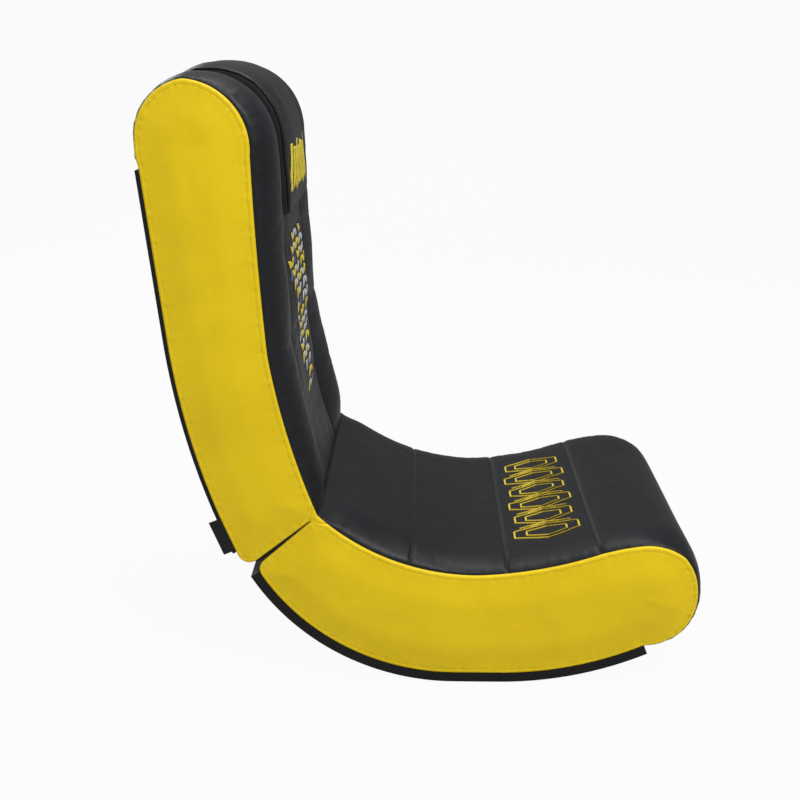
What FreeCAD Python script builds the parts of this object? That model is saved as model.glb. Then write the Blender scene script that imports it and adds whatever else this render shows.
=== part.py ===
import FreeCAD, Part
import math
import os

import Sketcher
from FreeCAD import Placement, Rotation, Vector

# Folding floor rocker chair: an upholstered seat on a bent rocker board, and a backrest
# hinged to it at the crease, which folds forward onto the seat. Millimetres, +X to the
# front of the seat, +Z up. The origin lies on the floor under the middle of the chair.

SIZES = {
    # Outline of the padded sides, from the crease forward round the seat
    "overall_width": 450.0,
    "crease_x": -146.3,
    "crease_z": 241.0,
    "seat_low_x": 67.0,
    "seat_low_z": 156.7,
    "seat_rise_x": 227.0,
    "seat_rise_z": 188.4,
    "seat_crown_x": 282.0,
    "seat_crown_z": 200.5,
    "nose_top_x": 338.0,
    "nose_top_z": 184.0,
    "nose_front_x": 357.4,
    "nose_front_z": 138.0,
    "nose_under_x": 338.0,
    "nose_under_z": 76.0,
    "seat_rear_radius": 303.5,
    "seat_front_radius": 544.0,
    "seat_shoulder_radius": 312.0,
    "nose_radius": 78.0,
    # Outline of the padded sides, from the rear foot of the backrest up and over the head
    "back_foot_x": -254.0,
    "back_foot_z": 188.0,
    "back_waist_x": -329.0,
    "back_waist_z": 466.0,
    "panel_top_x": -352.0,
    "panel_top_z": 690.0,
    "head_rear_x": -355.2,
    "head_rear_z": 717.0,
    "head_top_x": -295.0,
    "head_top_z": 793.4,
    "face_top_x": -217.5,
    "face_top_z": 704.0,
    "back_bend_x": -204.5,
    "back_bend_z": 455.0,
    "back_rear_radius": 972.0,
    "head_rear_radius": 72.0,
    "head_front_radius": 82.0,
    "back_face_radius": 4000.0,
    "back_lower_radius": 1000.0,
    # Rocker board, a flat land between two bent runs
    "land_start_x": 35.0,
    "land_length": 60.0,
    "rocker_rear_radius": 315.0,
    "rocker_rear_sweep": 59.3,
    "rocker_front_radius": 470.0,
    "rocker_front_sweep": 25.2,
    "board_thickness": 12.0,
    # Fold between seat and backrest
    "fold_angle": 41.6,
    "pivot_depth": 10.0,
    "fold_opening": 3.4,
    "notch_seat_angle": -13.5,
    "notch_back_angle": 83.5,
    "notch_reach": 85.0,
    "crease_turn": 45.0,
    "end_cover_thickness": 1.3,
    "end_cover_gap": 0.3,
    "side_cover_gap": 0.5,
    # Coverings and padding
    "side_cover_thickness": 4.5,
    "side_cover_round": 3.0,
    "cover_thickness": 1.8,
    "seat_foam_thickness": 30.0,
    "back_foam_thickness": 18.0,
    "seat_crown_height": 12.0,
    "seat_seam_height": 7.0,
    "seat_seam_rear_x": -27.0,
    "seat_seam_middle_x": 105.0,
    "bolster_width": 110.0,
    "pillow_low_z": 614.0,
    "pillow_side_gap": 2.0,
    "rear_panel_thickness": 5.0,
    "rear_panel_margin": 1.5,
    "rear_panel_drop": 3.0,
    "tag_width": 45.0,
    "tag_stand_out": 11.0,
    "tag_thickness": 1.2,
    "tag_height_z": 214.0,
    "layer_clearance": 0.2,
    # Frame inside
    "seat_cheek_thickness": 18.0,
    "back_cheek_thickness": 12.0,
    "seat_deck_thickness": 5.0,
    "seat_rail_thickness": 20.0,
    "back_rail_thickness": 18.0,
    "rear_rail_depth": 58.0,
    "middle_rail_x": 40.0,
    "middle_rail_depth": 78.0,
    "front_rail_x": 262.0,
    "front_rail_depth": 80.0,
    "foot_rail_depth": 62.0,
    "waist_rail_z": 470.0,
    "waist_rail_depth": 60.0,
    "head_rail_z": 745.0,
    "head_rail_depth": 50.0,
    "strap_width": 50.0,
    "strap_thickness": 1.6,
    "strap_first_z": 300.0,
    "strap_spacing": 85.0,
    # Hinges
    "hinge_width": 70.0,
    "hinge_spread": 230.0,
    "leaf_length": 46.0,
    "leaf_thickness": 1.5,
    "leaf_gap": 0.4,
    "knuckle_radius": 4.5,
    "knuckle_gap": 0.3,
    "pin_radius": 2.5,
    "pin_clearance": 0.05,
    "pin_head_radius": 3.6,
    "pin_head_height": 1.2,
    "knuckle_clearance": 1.2,
    # Fasteners
    "hinge_screw_radius": 1.8,
    "hinge_screw_head_radius": 3.4,
    "hinge_screw_length": 16.0,
    "board_screw_radius": 2.2,
    "board_screw_head_radius": 4.4,
    "board_screw_length": 40.0,
    "frame_screw_radius": 2.4,
    "frame_screw_head_radius": 4.2,
    "frame_screw_head_height": 3.0,
    "frame_screw_length": 50.0,
    "screw_hole_clearance": 0.1,
    "screw_sink": 0.2,
}

STRAP_COUNT = 5
KNUCKLE_COUNT = 5


class Sizes:
    def __init__(self, table):
        self.__dict__.update(table)


size = Sizes(SIZES)
doc = FreeCAD.newDocument("rocker_chair")
sheet = doc.addObject("Spreadsheet::Sheet", "sizes")
for row, (alias, value) in enumerate(SIZES.items(), start=1):
    sheet.set("A%d" % row, alias)
    sheet.set("B%d" % row, "%g" % value)
    sheet.setAlias("B%d" % row, alias)
doc.recompute()

half_width = size.overall_width / 2
cover_inner_y = half_width - size.side_cover_thickness
frame_outer_y = cover_inner_y - size.layer_clearance


# Points and paths in the side view. A path is a list of points start, middle, end,
# middle, end, and so on: each three make one arc. It runs clockwise round the solid,
# so that its left side is the outside.

def point(x, z):
    return Vector(x, 0, z)


def direction(angle):
    return Vector(math.cos(math.radians(angle)), 0, math.sin(math.radians(angle)))


def left_of(way):
    return Vector(-way.z, 0, way.x).normalize()


def middle_of_arc(start, end, radius):
    # A positive radius bulges to the left of the way from start to end.
    half_chord = (end - start).Length / 2
    rise = abs(radius) - math.sqrt(radius * radius - half_chord * half_chord)
    return (start + end) * 0.5 + left_of(end - start) * math.copysign(rise, radius)


def path_of(first, *steps):
    # Each step is the radius of an arc, or a point on it, and the point where it ends.
    points = [first]
    for via, end in steps:
        middle = via if isinstance(via, Vector) else middle_of_arc(points[-1], end, via)
        points += [middle, end]
    return points


def arc_centre(start, middle, end):
    # None where the three points lie on a line.
    a, b = middle - start, end - start
    cross = a.x * b.z - a.z * b.x
    if abs(cross) < 1e-6 * b.Length * b.Length:
        return None
    aa, bb = a.dot(a), b.dot(b)
    return start + Vector(b.z * aa - a.z * bb, 0, a.x * bb - b.x * aa) * (0.5 / cross)


def arc_normals(start, middle, end):
    outward = left_of(end - start)
    centre = arc_centre(start, middle, end)
    if centre is None:
        return [outward] * 3
    sign = 1 if (middle - centre).dot(outward) > 0 else -1
    return [(each - centre).normalize() * sign for each in (start, middle, end)]


def path_normals(path):
    normals = [Vector() for each in path]
    for at in range(0, len(path) - 1, 2):
        for step, normal in enumerate(arc_normals(*path[at:at + 3])):
            normals[at + step] = normals[at + step] + normal
    return [normal.normalize() for normal in normals]


def offset_path(path, distances):
    if not isinstance(distances, list):
        distances = [distances] * len(path)
    return [p + n * d for p, n, d in zip(path, path_normals(path), distances)]


def offset_closed(path, distance):
    normals = path_normals(path)
    normals[0] = normals[-1] = (normals[0] + normals[-1]).normalize()
    return [p + n * distance for p, n in zip(path, normals)]


def at_y(place, y):
    return Vector(place.x, y, place.z)


def moved(points, y):
    return [at_y(p, y) for p in points]


def path_edges(path):
    edges = []
    for at in range(0, len(path) - 1, 2):
        start, middle, end = path[at:at + 3]
        if arc_centre(start, middle, end) is None:
            edges.append(Part.LineSegment(start, end).toShape())
        else:
            edges.append(Part.Arc(start, middle, end).toShape())
    return edges


def straight(*corners):
    # A path of straight runs.
    return path_of(corners[0], *[((a + b) * 0.5, b) for a, b in zip(corners, corners[1:])])


def joined(*paths):
    # One closed path out of several, with straight runs between them.
    result = list(paths[0])
    for path in paths[1:]:
        if (result[-1] - path[0]).Length > 1e-6:
            result += [(result[-1] + path[0]) * 0.5, path[0]]
        result += path[1:]
    if (result[-1] - result[0]).Length > 1e-6:
        result += [(result[-1] + result[0]) * 0.5, result[0]]
    return result


def line_leaves_circle(start, way, centre, radius):
    # Where the line from start along way leaves the circle.
    to_centre = centre - start
    along = to_centre.dot(way)
    across = (to_centre - way * along).Length
    return start + way * (along + math.sqrt(radius * radius - across * across))


def corner_round(start, tangent, line_point, line_way):
    # From start, where the outline runs along tangent, round onto the line, which is
    # then followed against line_way. Returns the arc's start, middle and end.
    across = left_of(line_way)
    reach = (line_point - start).dot(across) / tangent.dot(across)
    corner = start + tangent * reach
    end = corner - line_way * abs(reach)
    inward = ((start - corner).normalize() + (end - corner).normalize()).normalize()
    half_angle = math.acos((start - corner).normalize().dot(inward))
    centre = corner + inward * (abs(reach) / math.cos(half_angle))
    radius = abs(reach) * math.tan(half_angle)
    return [start, centre - inward * radius, end]


# Side outline of the seat and the backrest

crease = point(size.crease_x, size.crease_z)
seat_low = point(size.seat_low_x, size.seat_low_z)
seat_rise = point(size.seat_rise_x, size.seat_rise_z)
seat_crown = point(size.seat_crown_x, size.seat_crown_z)
nose_top = point(size.nose_top_x, size.nose_top_z)
nose_front = point(size.nose_front_x, size.nose_front_z)
nose_under = point(size.nose_under_x, size.nose_under_z)

rocker_rear_centre = point(size.land_start_x, size.rocker_rear_radius)
rocker_front_centre = point(size.land_start_x + size.land_length, size.rocker_front_radius)


def rocker_point(sweep, depth):
    # A point of the board, depth above its underside, sweep degrees from the flat land.
    if sweep < 0:
        return rocker_rear_centre + direction(-90 + sweep) * (size.rocker_rear_radius - depth)
    return rocker_front_centre + direction(-90 + sweep) * (size.rocker_front_radius - depth)


def rocker_path(depth, rear_sweep, front_sweep):
    # From the front end of the board to its rear end.
    land_front = point(rocker_front_centre.x, depth)
    land_rear = point(rocker_rear_centre.x, depth)
    return path_of(
        rocker_point(front_sweep, depth),
        (rocker_point(front_sweep / 2, depth), land_front),
        ((land_front + land_rear) * 0.5, land_rear),
        (rocker_point(-rear_sweep / 2, depth), rocker_point(-rear_sweep, depth)),
    )


lip = rocker_point(size.rocker_front_sweep, size.board_thickness + size.layer_clearance)
seat_rear_centre = arc_centre(
    crease, middle_of_arc(crease, seat_low, -size.seat_rear_radius), seat_low)
seat_front_centre = arc_centre(
    seat_low, middle_of_arc(seat_low, seat_rise, -size.seat_front_radius), seat_rise)


def seat_line(x):
    # The seat's side line left of its rise: two arcs that meet at its lowest point.
    centre, radius = seat_rear_centre, size.seat_rear_radius
    if x > size.seat_low_x:
        centre, radius = seat_front_centre, size.seat_front_radius
    return point(x, centre.z - math.sqrt(radius ** 2 - (x - centre.x) ** 2))


nose_steps = [
    (size.nose_radius, nose_top),
    (size.nose_radius, nose_front),
    (size.nose_radius, nose_under),
    (size.nose_radius, lip),
]
seat_side_path = path_of(
    crease,
    (-size.seat_rear_radius, seat_low),
    (-size.seat_front_radius, seat_rise),
    (size.seat_shoulder_radius, seat_crown),
    *nose_steps,
)

back_foot = point(size.back_foot_x, size.back_foot_z)
back_waist = point(size.back_waist_x, size.back_waist_z)
panel_top = point(size.panel_top_x, size.panel_top_z)
head_rear = point(size.head_rear_x, size.head_rear_z)
head_top = point(size.head_top_x, size.head_top_z)
face_top = point(size.face_top_x, size.face_top_z)
back_bend = point(size.back_bend_x, size.back_bend_z)

back_rear_steps = [
    (size.back_rear_radius, back_waist),
    ((back_waist + panel_top) * 0.5, panel_top),
]
head_steps = [
    (size.head_rear_radius, head_rear),
    (size.head_rear_radius, head_top),
    (size.head_front_radius, face_top),
]
face_steps = [
    (-size.back_face_radius, back_bend),
    (-size.back_lower_radius, crease),
]
back_side_path = path_of(back_foot, *back_rear_steps, *head_steps, *face_steps)
back_lower_centre = arc_centre(*back_side_path[-3:])

# The fold plane runs from the crease down to the rear; the pivot lies in it, just under
# the crease.
fold_way = -direction(size.fold_angle)
to_back = left_of(-fold_way)
to_seat = -to_back
pivot = crease + fold_way * size.pivot_depth
far = size.head_top_z


def fold_block(corner, notch_angle, sweep):
    # The room that one half leaves free for the other: from the notch over the pivot
    # round by sweep to its own end face.
    outer = [corner + direction(notch_angle + sweep * part) * 2 * far for part in (0.3, 0.65)]
    corners = [corner, corner + direction(notch_angle) * size.notch_reach] + outer
    corners.append(corner + direction(notch_angle + sweep) * far)
    face = Part.Face(Part.makePolygon(moved(corners + corners[:1], -half_width - 1)))
    block = face.extrude(Vector(0, size.overall_width + 2, 0))
    room = size.knuckle_radius + size.knuckle_clearance
    bore = Part.makeCylinder(room, size.overall_width + 2, at_y(pivot, -half_width - 1),
                             Vector(0, 1, 0))
    return block.fuse(bore)


def seat_cut(gap):
    sweep = 180 + size.fold_angle - size.notch_seat_angle
    return fold_block(pivot + to_seat * gap, size.notch_seat_angle, sweep)


def back_cut(gap, opening=0.0):
    sweep = size.fold_angle - opening - 180 - size.notch_back_angle
    return fold_block(pivot + to_back * gap, size.notch_back_angle, sweep)


# Pieces of the document

nodes = []


def named(item, label):
    item.Label = label
    nodes.append(item)
    return item


def feature(label, shape, node=True):
    item = doc.addObject("Part::Feature", label)
    item.Shape = shape
    return named(item, label) if node else item


def new_body(name):
    return doc.addObject("PartDesign::Body", name)


def new_sketch(body, name, role="XZ_Plane"):
    sketch = body.newObject("Sketcher::SketchObject", name)
    plane = [each for each in body.Origin.OriginFeatures if each.Role == role][0]
    sketch.AttachmentSupport = [(plane, "")]
    sketch.MapMode = "FlatFace"
    return sketch


def draw_path(sketch, path):
    # Draws a closed path of the side view; the sketch's own axes are X and Z.
    ends = []
    for at in range(0, len(path) - 1, 2):
        start, middle, end = path[at:at + 3]
        centre = arc_centre(start, middle, end)
        if centre is None:
            line = Part.LineSegment(Vector(start.x, start.z, 0), Vector(end.x, end.z, 0))
            ends.append((sketch.addGeometry(line, False), 1, 2))
            continue
        first, last = [math.atan2(p.z - centre.z, p.x - centre.x) for p in (start, end)]
        anticlockwise = (middle - start).cross(end - middle).y < 0
        low, high = (first, last) if anticlockwise else (last, first)
        if high < low:
            high += 2 * math.pi
        circle = Part.Circle(Vector(centre.x, centre.z, 0), Vector(0, 0, 1),
                             (start - centre).Length)
        number = sketch.addGeometry(Part.ArcOfCircle(circle, low, high), False)
        ends.append((number, 1, 2) if anticlockwise else (number, 2, 1))
    for here, after in zip(ends, ends[1:] + ends[:1]):
        sketch.addConstraint(
            Sketcher.Constraint("Coincident", here[0], here[2], after[0], after[1]))


def pad(body, sketch, length):
    # Both ways from the sketch, as long as the named size or formula says.
    item = body.newObject("PartDesign::Pad", sketch.Name + "_pad")
    item.Profile = sketch
    item.Midplane = True
    item.setExpression("Length", length)
    sketch.Visibility = False
    return item


def bent_piece(label, path, length, y=None, node=True):
    # A flat-sided piece cut or bent to a path of the side view.
    body = new_body(label)
    sketch = new_sketch(body, label + "_outline")
    draw_path(sketch, path)
    pad(body, sketch, length)
    if y is not None:
        body.setExpression("Placement.Base.y", y)
    return named(body, label) if node else body


def without(label, base, tool):
    # The piece with its holes or its fold room cut away.
    cutter = feature(label + "_room", tool, node=False)
    cut = doc.addObject("Part::Cut", label + "_cut")
    cut.Base = base
    cut.Tool = cutter
    return named(cut, label)


def group(label, shapes):
    return feature(label, Part.makeCompound(shapes))


# Screws

def revolved(profile, at, way):
    # profile holds (radius, distance along the axis) pairs from tip to head.
    points = [Vector(radius, 0, height) for radius, height in profile]
    face = Part.Face(Part.makePolygon(points + points[:1]))
    solid = face.revolve(Vector(), Vector(0, 0, 1), 360)
    solid.Placement = Placement(at, Rotation(Vector(0, 0, 1), way))
    return solid


def flat_head_screw(at, way, radius, head_radius, length, room=0.0):
    # at is the middle of the head's flat face, way the way that the screw points.
    r, head = radius + room, head_radius + room
    cone = head_radius - radius
    profile = [(0, -room), (head, -room), (head, 0), (r, cone + (room if room else 0)),
               (r, length - 2 * radius), (0, length + room)]
    return revolved([(a, b) for a, b in profile], at, way)


def cap_screw(at, way, room=0.0):
    # at is the middle of the seat of the head.
    r, head = size.frame_screw_radius + room, size.frame_screw_head_radius + room
    length = size.frame_screw_length + room
    height = size.frame_screw_head_height
    profile = [(0, -height - room), (head, -height - room), (head, 0), (r, 0),
               (r, length), (0, length)]
    return revolved(profile, at, way)


# Names for lengths and places across the chair

FRAME_WIDTH = "sizes.overall_width - 2 * (sizes.side_cover_thickness + sizes.layer_clearance)"
RAIL_LENGTH = FRAME_WIDTH + " - 2 * sizes.%s_cheek_thickness"
CHEEK_PLACE = ("%s(sizes.overall_width / 2 - sizes.side_cover_thickness"
               " - sizes.layer_clearance - sizes.%s_cheek_thickness / 2)")
SIDES = (("left", 1, ""), ("right", -1, "-"))

seat_cheek_y = frame_outer_y - size.seat_cheek_thickness / 2


def block(path, half_length, y=0.0):
    # A plain solid of a closed path, both ways from y.
    face = Part.Face(Part.Wire(path_edges(moved(path, y - half_length))))
    return face.extrude(Vector(0, 2 * half_length, 0))


def box_path(corner, along, across):
    return straight(corner, corner + along, corner + along + across, corner + across, corner)


# Rocker board

board_screw_sweeps = [-50.0, -32.0, -12.0, 8.0, 20.0]
board_path = joined(
    rocker_path(0, size.rocker_rear_sweep, size.rocker_front_sweep),
    rocker_path(size.board_thickness, size.rocker_rear_sweep, size.rocker_front_sweep)[::-1])


def board_screws(room=0.0):
    screws = []
    for name, side, sign in SIDES:
        for sweep in board_screw_sweeps:
            head = at_y(rocker_point(sweep, size.screw_sink), side * seat_cheek_y)
            screws.append(flat_head_screw(
                head, -direction(-90 + sweep), size.board_screw_radius,
                size.board_screw_head_radius, size.board_screw_length, room))
    return screws


board_screw_room = Part.makeCompound(board_screws(size.screw_hole_clearance))
board = bent_piece("rocker_board_blank", board_path, "sizes.overall_width", node=False)
without("rocker_board", board, board_screw_room)
group("rocker_board_screws", board_screws())


# Hinges: each leaf lies on the end face of its rail, its knuckles round the pivot

leaf_back = size.leaf_gap / 2 + size.leaf_thickness
hinge_places = [side * size.hinge_spread / 2 for name, side, sign in SIDES]
screw_rows = (0.36, 0.80)
screw_columns = (-0.28, 0.28)


def leaf_outline():
    # Seen along the pin: the knuckle is a circle round the origin, the leaf runs along +X.
    near = size.leaf_gap / 2
    r = size.knuckle_radius
    top = point(math.sqrt(r * r - near * near), -near)
    bottom = point(math.sqrt(r * r - leaf_back * leaf_back), -leaf_back)
    end_top = point(size.leaf_length, -near)
    end_bottom = point(size.leaf_length, -leaf_back)
    flats = straight(top, end_top, end_bottom, bottom)
    return joined(flats, [bottom, point(-r, 0), top])


def leaf_screw_places():
    return [(size.leaf_length * row_share, size.hinge_width * column_share)
            for row_share in screw_rows for column_share in screw_columns]


def hinge_leaf(label, first, placement):
    # first tells whether this leaf has the outer knuckles.
    body = new_body(label)
    outline = new_sketch(body, label + "_outline")
    draw_path(outline, leaf_outline())
    pad(body, outline, "sizes.hinge_width")
    bore = new_sketch(body, label + "_bore")
    circle = Part.Circle(Vector(), Vector(0, 0, 1), size.pin_radius + size.pin_clearance)
    bore.addGeometry(circle, False)
    radius = bore.addConstraint(Sketcher.Constraint("Radius", 0, circle.Radius))
    bore.addConstraint(Sketcher.Constraint("Coincident", 0, 3, -1, 1))
    bore.setExpression("Constraints[%d]" % radius, "sizes.pin_radius + sizes.pin_clearance")
    pocket_both_ways(body, bore)
    gaps = new_sketch(body, label + "_knuckle_gaps", "XY_Plane")
    pitch = size.hinge_width / KNUCKLE_COUNT
    reach = size.knuckle_radius + size.knuckle_clearance
    for number in range(1 if first else 0, KNUCKLE_COUNT, 2):
        low = -size.hinge_width / 2 + number * pitch - size.knuckle_gap / 2
        high = low + pitch + size.knuckle_gap
        draw_rectangle(gaps, -reach, low, reach, high)
    pocket_both_ways(body, gaps)
    body.Placement = placement
    return body


def pocket_both_ways(body, sketch):
    item = body.newObject("PartDesign::Pocket", sketch.Name + "_pocket")
    item.Profile = sketch
    item.Type = "ThroughAll"
    item.Midplane = True
    sketch.Visibility = False
    return item


def draw_rectangle(sketch, x_low, y_low, x_high, y_high):
    corners = [Vector(x_low, y_low, 0), Vector(x_high, y_low, 0),
               Vector(x_high, y_high, 0), Vector(x_low, y_high, 0)]
    first = sketch.GeometryCount
    for start, end in zip(corners, corners[1:] + corners[:1]):
        sketch.addGeometry(Part.LineSegment(start, end), False)
    for side in range(4):
        sketch.addConstraint(Sketcher.Constraint(
            "Coincident", first + side, 2, first + (side + 1) % 4, 1))


def fold_frame(y, mirror):
    # The leaf's own axes laid into the fold: +X down the fold, -Z into the seat, or into
    # the backrest where it is mirrored.
    normal = to_seat if mirror else to_back
    axis = normal.cross(fold_way)
    turn = FreeCAD.Matrix(fold_way.x, axis.x, normal.x, pivot.x,
                          fold_way.y, axis.y, normal.y, y,
                          fold_way.z, axis.z, normal.z, pivot.z)
    return Placement(turn)


def hinge_screws(mirror, room=0.0):
    screws = []
    for y in hinge_places:
        frame = fold_frame(y, mirror)
        way = frame.Rotation.multVec(Vector(0, 0, -1))
        for along, across in leaf_screw_places():
            head = Vector(along, across, -size.leaf_gap / 2 - size.screw_sink)
            screws.append(flat_head_screw(
                frame.multVec(head), way, size.hinge_screw_radius,
                size.hinge_screw_head_radius, size.hinge_screw_length, room))
    return screws


seat_hinge_room = Part.makeCompound(hinge_screws(False, size.screw_hole_clearance))
back_hinge_room = Part.makeCompound(hinge_screws(True, size.screw_hole_clearance))
for (name, side, sign), y in zip(SIDES, hinge_places):
    for half, mirror, room in (("seat", False, seat_hinge_room), ("back", True, back_hinge_room)):
        label = "hinge_leaf_%s_%s" % (half, name)
        blank = hinge_leaf(label + "_blank", half == "seat", fold_frame(y, mirror))
        without(label, blank, room)
    pin = doc.addObject("Part::Cylinder", "hinge_pin_shank_" + name)
    pin.setExpression("Radius", "sizes.pin_radius")
    pin.setExpression("Height", "sizes.hinge_width")
    pin.Placement = Placement(Vector(pivot.x, y - size.hinge_width / 2, pivot.z),
                              Rotation(Vector(1, 0, 0), -90))
    heads = []
    for end, shift in (("inner", -size.pin_head_height), ("outer", size.hinge_width)):
        head = doc.addObject("Part::Cylinder", "hinge_pin_head_%s_%s" % (name, end))
        head.setExpression("Radius", "sizes.pin_head_radius")
        head.setExpression("Height", "sizes.pin_head_height")
        head.Placement = Placement(Vector(pivot.x, y - size.hinge_width / 2 + shift, pivot.z),
                                   Rotation(Vector(1, 0, 0), -90))
        heads.append(head)
    whole = doc.addObject("Part::MultiFuse", "hinge_pin_%s_fused" % name)
    whole.Shapes = [pin] + heads
    named(whole, "hinge_pin_" + name)
group("hinge_screws_seat", hinge_screws(False))
group("hinge_screws_back", hinge_screws(True))


# Seat frame

deck_depth = size.cover_thickness + size.layer_clearance + size.seat_foam_thickness
cheek_depth = deck_depth + size.seat_deck_thickness + 2 * size.layer_clearance
rail_start = size.knuckle_radius + size.knuckle_clearance + 1.0
seat_face = pivot + to_seat * leaf_back
back_face = pivot + to_back * leaf_back
NOSE_UNDER = 12


def seat_inset_path(depth, last, start_gap):
    # The seat's side line moved in by depth, from the fold to the point numbered last.
    inset = offset_path(seat_side_path, -depth)
    radius = size.seat_rear_radius + depth
    start = line_leaves_circle(pivot + to_seat * start_gap, fold_way, seat_rear_centre, radius)
    inset[0] = start
    inset[1] = middle_of_arc(start, inset[2], -radius)
    return inset[:last + 1]


# The line of the seat's covering, from the crease round the nose, with a point at each seam

seam_xs = [size.seat_seam_rear_x, size.seat_seam_middle_x, size.seat_rise_x]
seam_points = [seat_line(x) for x in seam_xs]
crease_root = size.knuckle_radius + size.knuckle_clearance + 1.5
seat_root = pivot + direction(size.notch_seat_angle) * crease_root
seat_turn = seat_line(size.crease_x + size.crease_turn)
seat_cover_path = path_of(
    seat_root,
    (size.crease_turn, seat_turn),
    (-size.seat_rear_radius, seam_points[0]),
    (seat_line((seam_xs[0] + seam_xs[1]) / 2), seam_points[1]),
    (seat_line((seam_xs[1] + seam_xs[2]) / 2), seam_points[2]),
    (size.seat_shoulder_radius, seat_crown),
    *nose_steps,
)
REAR_SEAM, DECK_END = 4, 12


def seat_base_path(depth, start_gap, last):
    # The covering's line moved in by depth, from the fold to the point numbered last.
    inset = offset_path(seat_cover_path, -depth)
    radius = size.seat_rear_radius + depth
    start = line_leaves_circle(pivot + to_seat * start_gap, fold_way, seat_rear_centre, radius)
    run = [start, middle_of_arc(start, inset[REAR_SEAM], -radius)]
    return run + inset[REAR_SEAM:last + 1]


def seat_foot_round(depth, line_point, back_off):
    # The lower rear corner of the seat, just above the end of the rocker board.
    sweep = -size.rocker_rear_sweep + back_off
    return corner_round(rocker_point(sweep, depth), direction(180 + sweep), line_point, fold_way)


def seat_bottom(depth, rear_back_off, front_back_off):
    return rocker_path(depth, size.rocker_rear_sweep - rear_back_off,
                       size.rocker_front_sweep - front_back_off)


cheek_top = seat_inset_path(cheek_depth, NOSE_UNDER, leaf_back)
cheek_bottom = seat_bottom(size.board_thickness, 2.0, 2.5)
cheek_foot = seat_foot_round(size.board_thickness, seat_face, 2.0)
seat_cheek_path = joined(cheek_top, cheek_bottom, cheek_foot)


def frame_screws(places, cheek_outer_y, room=0.0):
    # Through both cheeks into the ends of the rails.
    screws = []
    for name, side, sign in SIDES:
        for place in places:
            seat = at_y(place, side * (cheek_outer_y - size.frame_screw_head_height
                                       - size.screw_sink))
            screws.append(cap_screw(seat, Vector(0, -side, 0), room))
    return screws


class Rail:
    # A straight rail between the cheeks, drawn in the side view.
    def __init__(self, corner, along, across, depth, thickness):
        self.path = box_path(corner, along * depth, across * thickness)
        middle = corner + across * (thickness / 2)
        self.screws = [middle + along * (depth * share) for share in (0.25, 0.75)]
        self.room = box_path(corner - (along + across) * size.layer_clearance * 2,
                             along * (depth + 4 * size.layer_clearance),
                             across * (thickness + 4 * size.layer_clearance))


down = Vector(0, 0, -1)
forward = Vector(1, 0, 0)
rear_rail = Rail(seat_face + fold_way * rail_start, fold_way, to_seat,
                 size.rear_rail_depth, size.seat_rail_thickness)
middle_rail = Rail(point(size.middle_rail_x, seat_line(size.middle_rail_x).z - cheek_depth - 2),
                   down, forward, size.middle_rail_depth, size.seat_rail_thickness)
front_rail = Rail(point(size.front_rail_x, size.seat_rise_z - cheek_depth - 2),
                  down, forward, size.front_rail_depth, size.seat_rail_thickness)
seat_rails = [rear_rail, middle_rail, front_rail]
seat_screw_places = [place for rail in seat_rails for place in rail.screws]
seat_screw_room = frame_screws(seat_screw_places, frame_outer_y, size.screw_hole_clearance)

for name, side, sign in SIDES:
    blank = bent_piece("seat_cheek_%s_blank" % name, seat_cheek_path,
                       "sizes.seat_cheek_thickness", CHEEK_PLACE % (sign, "seat"), node=False)
    without("seat_cheek_" + name, blank,
            Part.makeCompound(seat_screw_room + board_screws(size.screw_hole_clearance)))
for label, rail in (("seat_rear_rail", rear_rail), ("seat_middle_rail", middle_rail),
                    ("seat_front_rail", front_rail)):
    blank = bent_piece(label + "_blank", rail.path, RAIL_LENGTH % "seat", node=False)
    without(label, blank, Part.makeCompound(seat_screw_room + seat_hinge_room.Solids))
group("seat_frame_screws", frame_screws(seat_screw_places, frame_outer_y))

deck_start = leaf_back + size.seat_rail_thickness + size.layer_clearance * 2
deck_top = seat_base_path(deck_depth, deck_start, DECK_END)
deck_bottom = seat_base_path(deck_depth + size.seat_deck_thickness, deck_start, DECK_END)
bent_piece("seat_deck", joined(deck_top, deck_bottom[::-1]), FRAME_WIDTH)


# Backrest frame

back_layer = size.cover_thickness + size.layer_clearance + size.back_foam_thickness
strap_depth = back_layer + size.strap_thickness
back_cheek_depth = strap_depth + size.layer_clearance
PANEL_TOP, FACE_TOP = 4, 10


def back_inset_path(depth, first):
    # The backrest's side line moved in by depth, from the point numbered first to the fold.
    inset = offset_path(back_side_path, -depth)
    radius = size.back_lower_radius + depth
    end = line_leaves_circle(back_face, fold_way, back_lower_centre, radius)
    inset[-1] = end
    inset[-2] = middle_of_arc(inset[-3], end, -radius)
    return inset[first:]


def back_foot_round(start, line_point, line_way):
    # The lower rear corner of the backrest.
    tangent = (left_of(start - arc_centre(*back_side_path[:3])) * -1).normalize()
    if tangent.z > 0:
        tangent = -tangent
    return corner_round(start, tangent, line_point, line_way)


panel_under = offset_path(back_side_path[:PANEL_TOP + 1], -size.layer_clearance)
panel_under[-1] = panel_under[-1] + down * 0.5
cheek_rounding = back_foot_round(panel_under[0], back_face, fold_way)
back_cheek_path = joined(panel_under, back_inset_path(back_cheek_depth, PANEL_TOP),
                         cheek_rounding[::-1])

foot_rail = Rail(back_face + fold_way * rail_start, fold_way, to_back,
                 size.foot_rail_depth, size.back_rail_thickness)
waist_rail = Rail(point(size.back_waist_x + 16, size.waist_rail_z), down, forward,
                  size.waist_rail_depth, size.back_rail_thickness)
head_rail = Rail(point(size.head_rear_x + 34, size.head_rail_z), down, forward,
                 size.head_rail_depth, size.back_rail_thickness)
back_rails = [foot_rail, waist_rail, head_rail]
back_screw_places = [place for rail in back_rails for place in rail.screws]
back_screw_room = frame_screws(back_screw_places, frame_outer_y, size.screw_hole_clearance)

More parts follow.
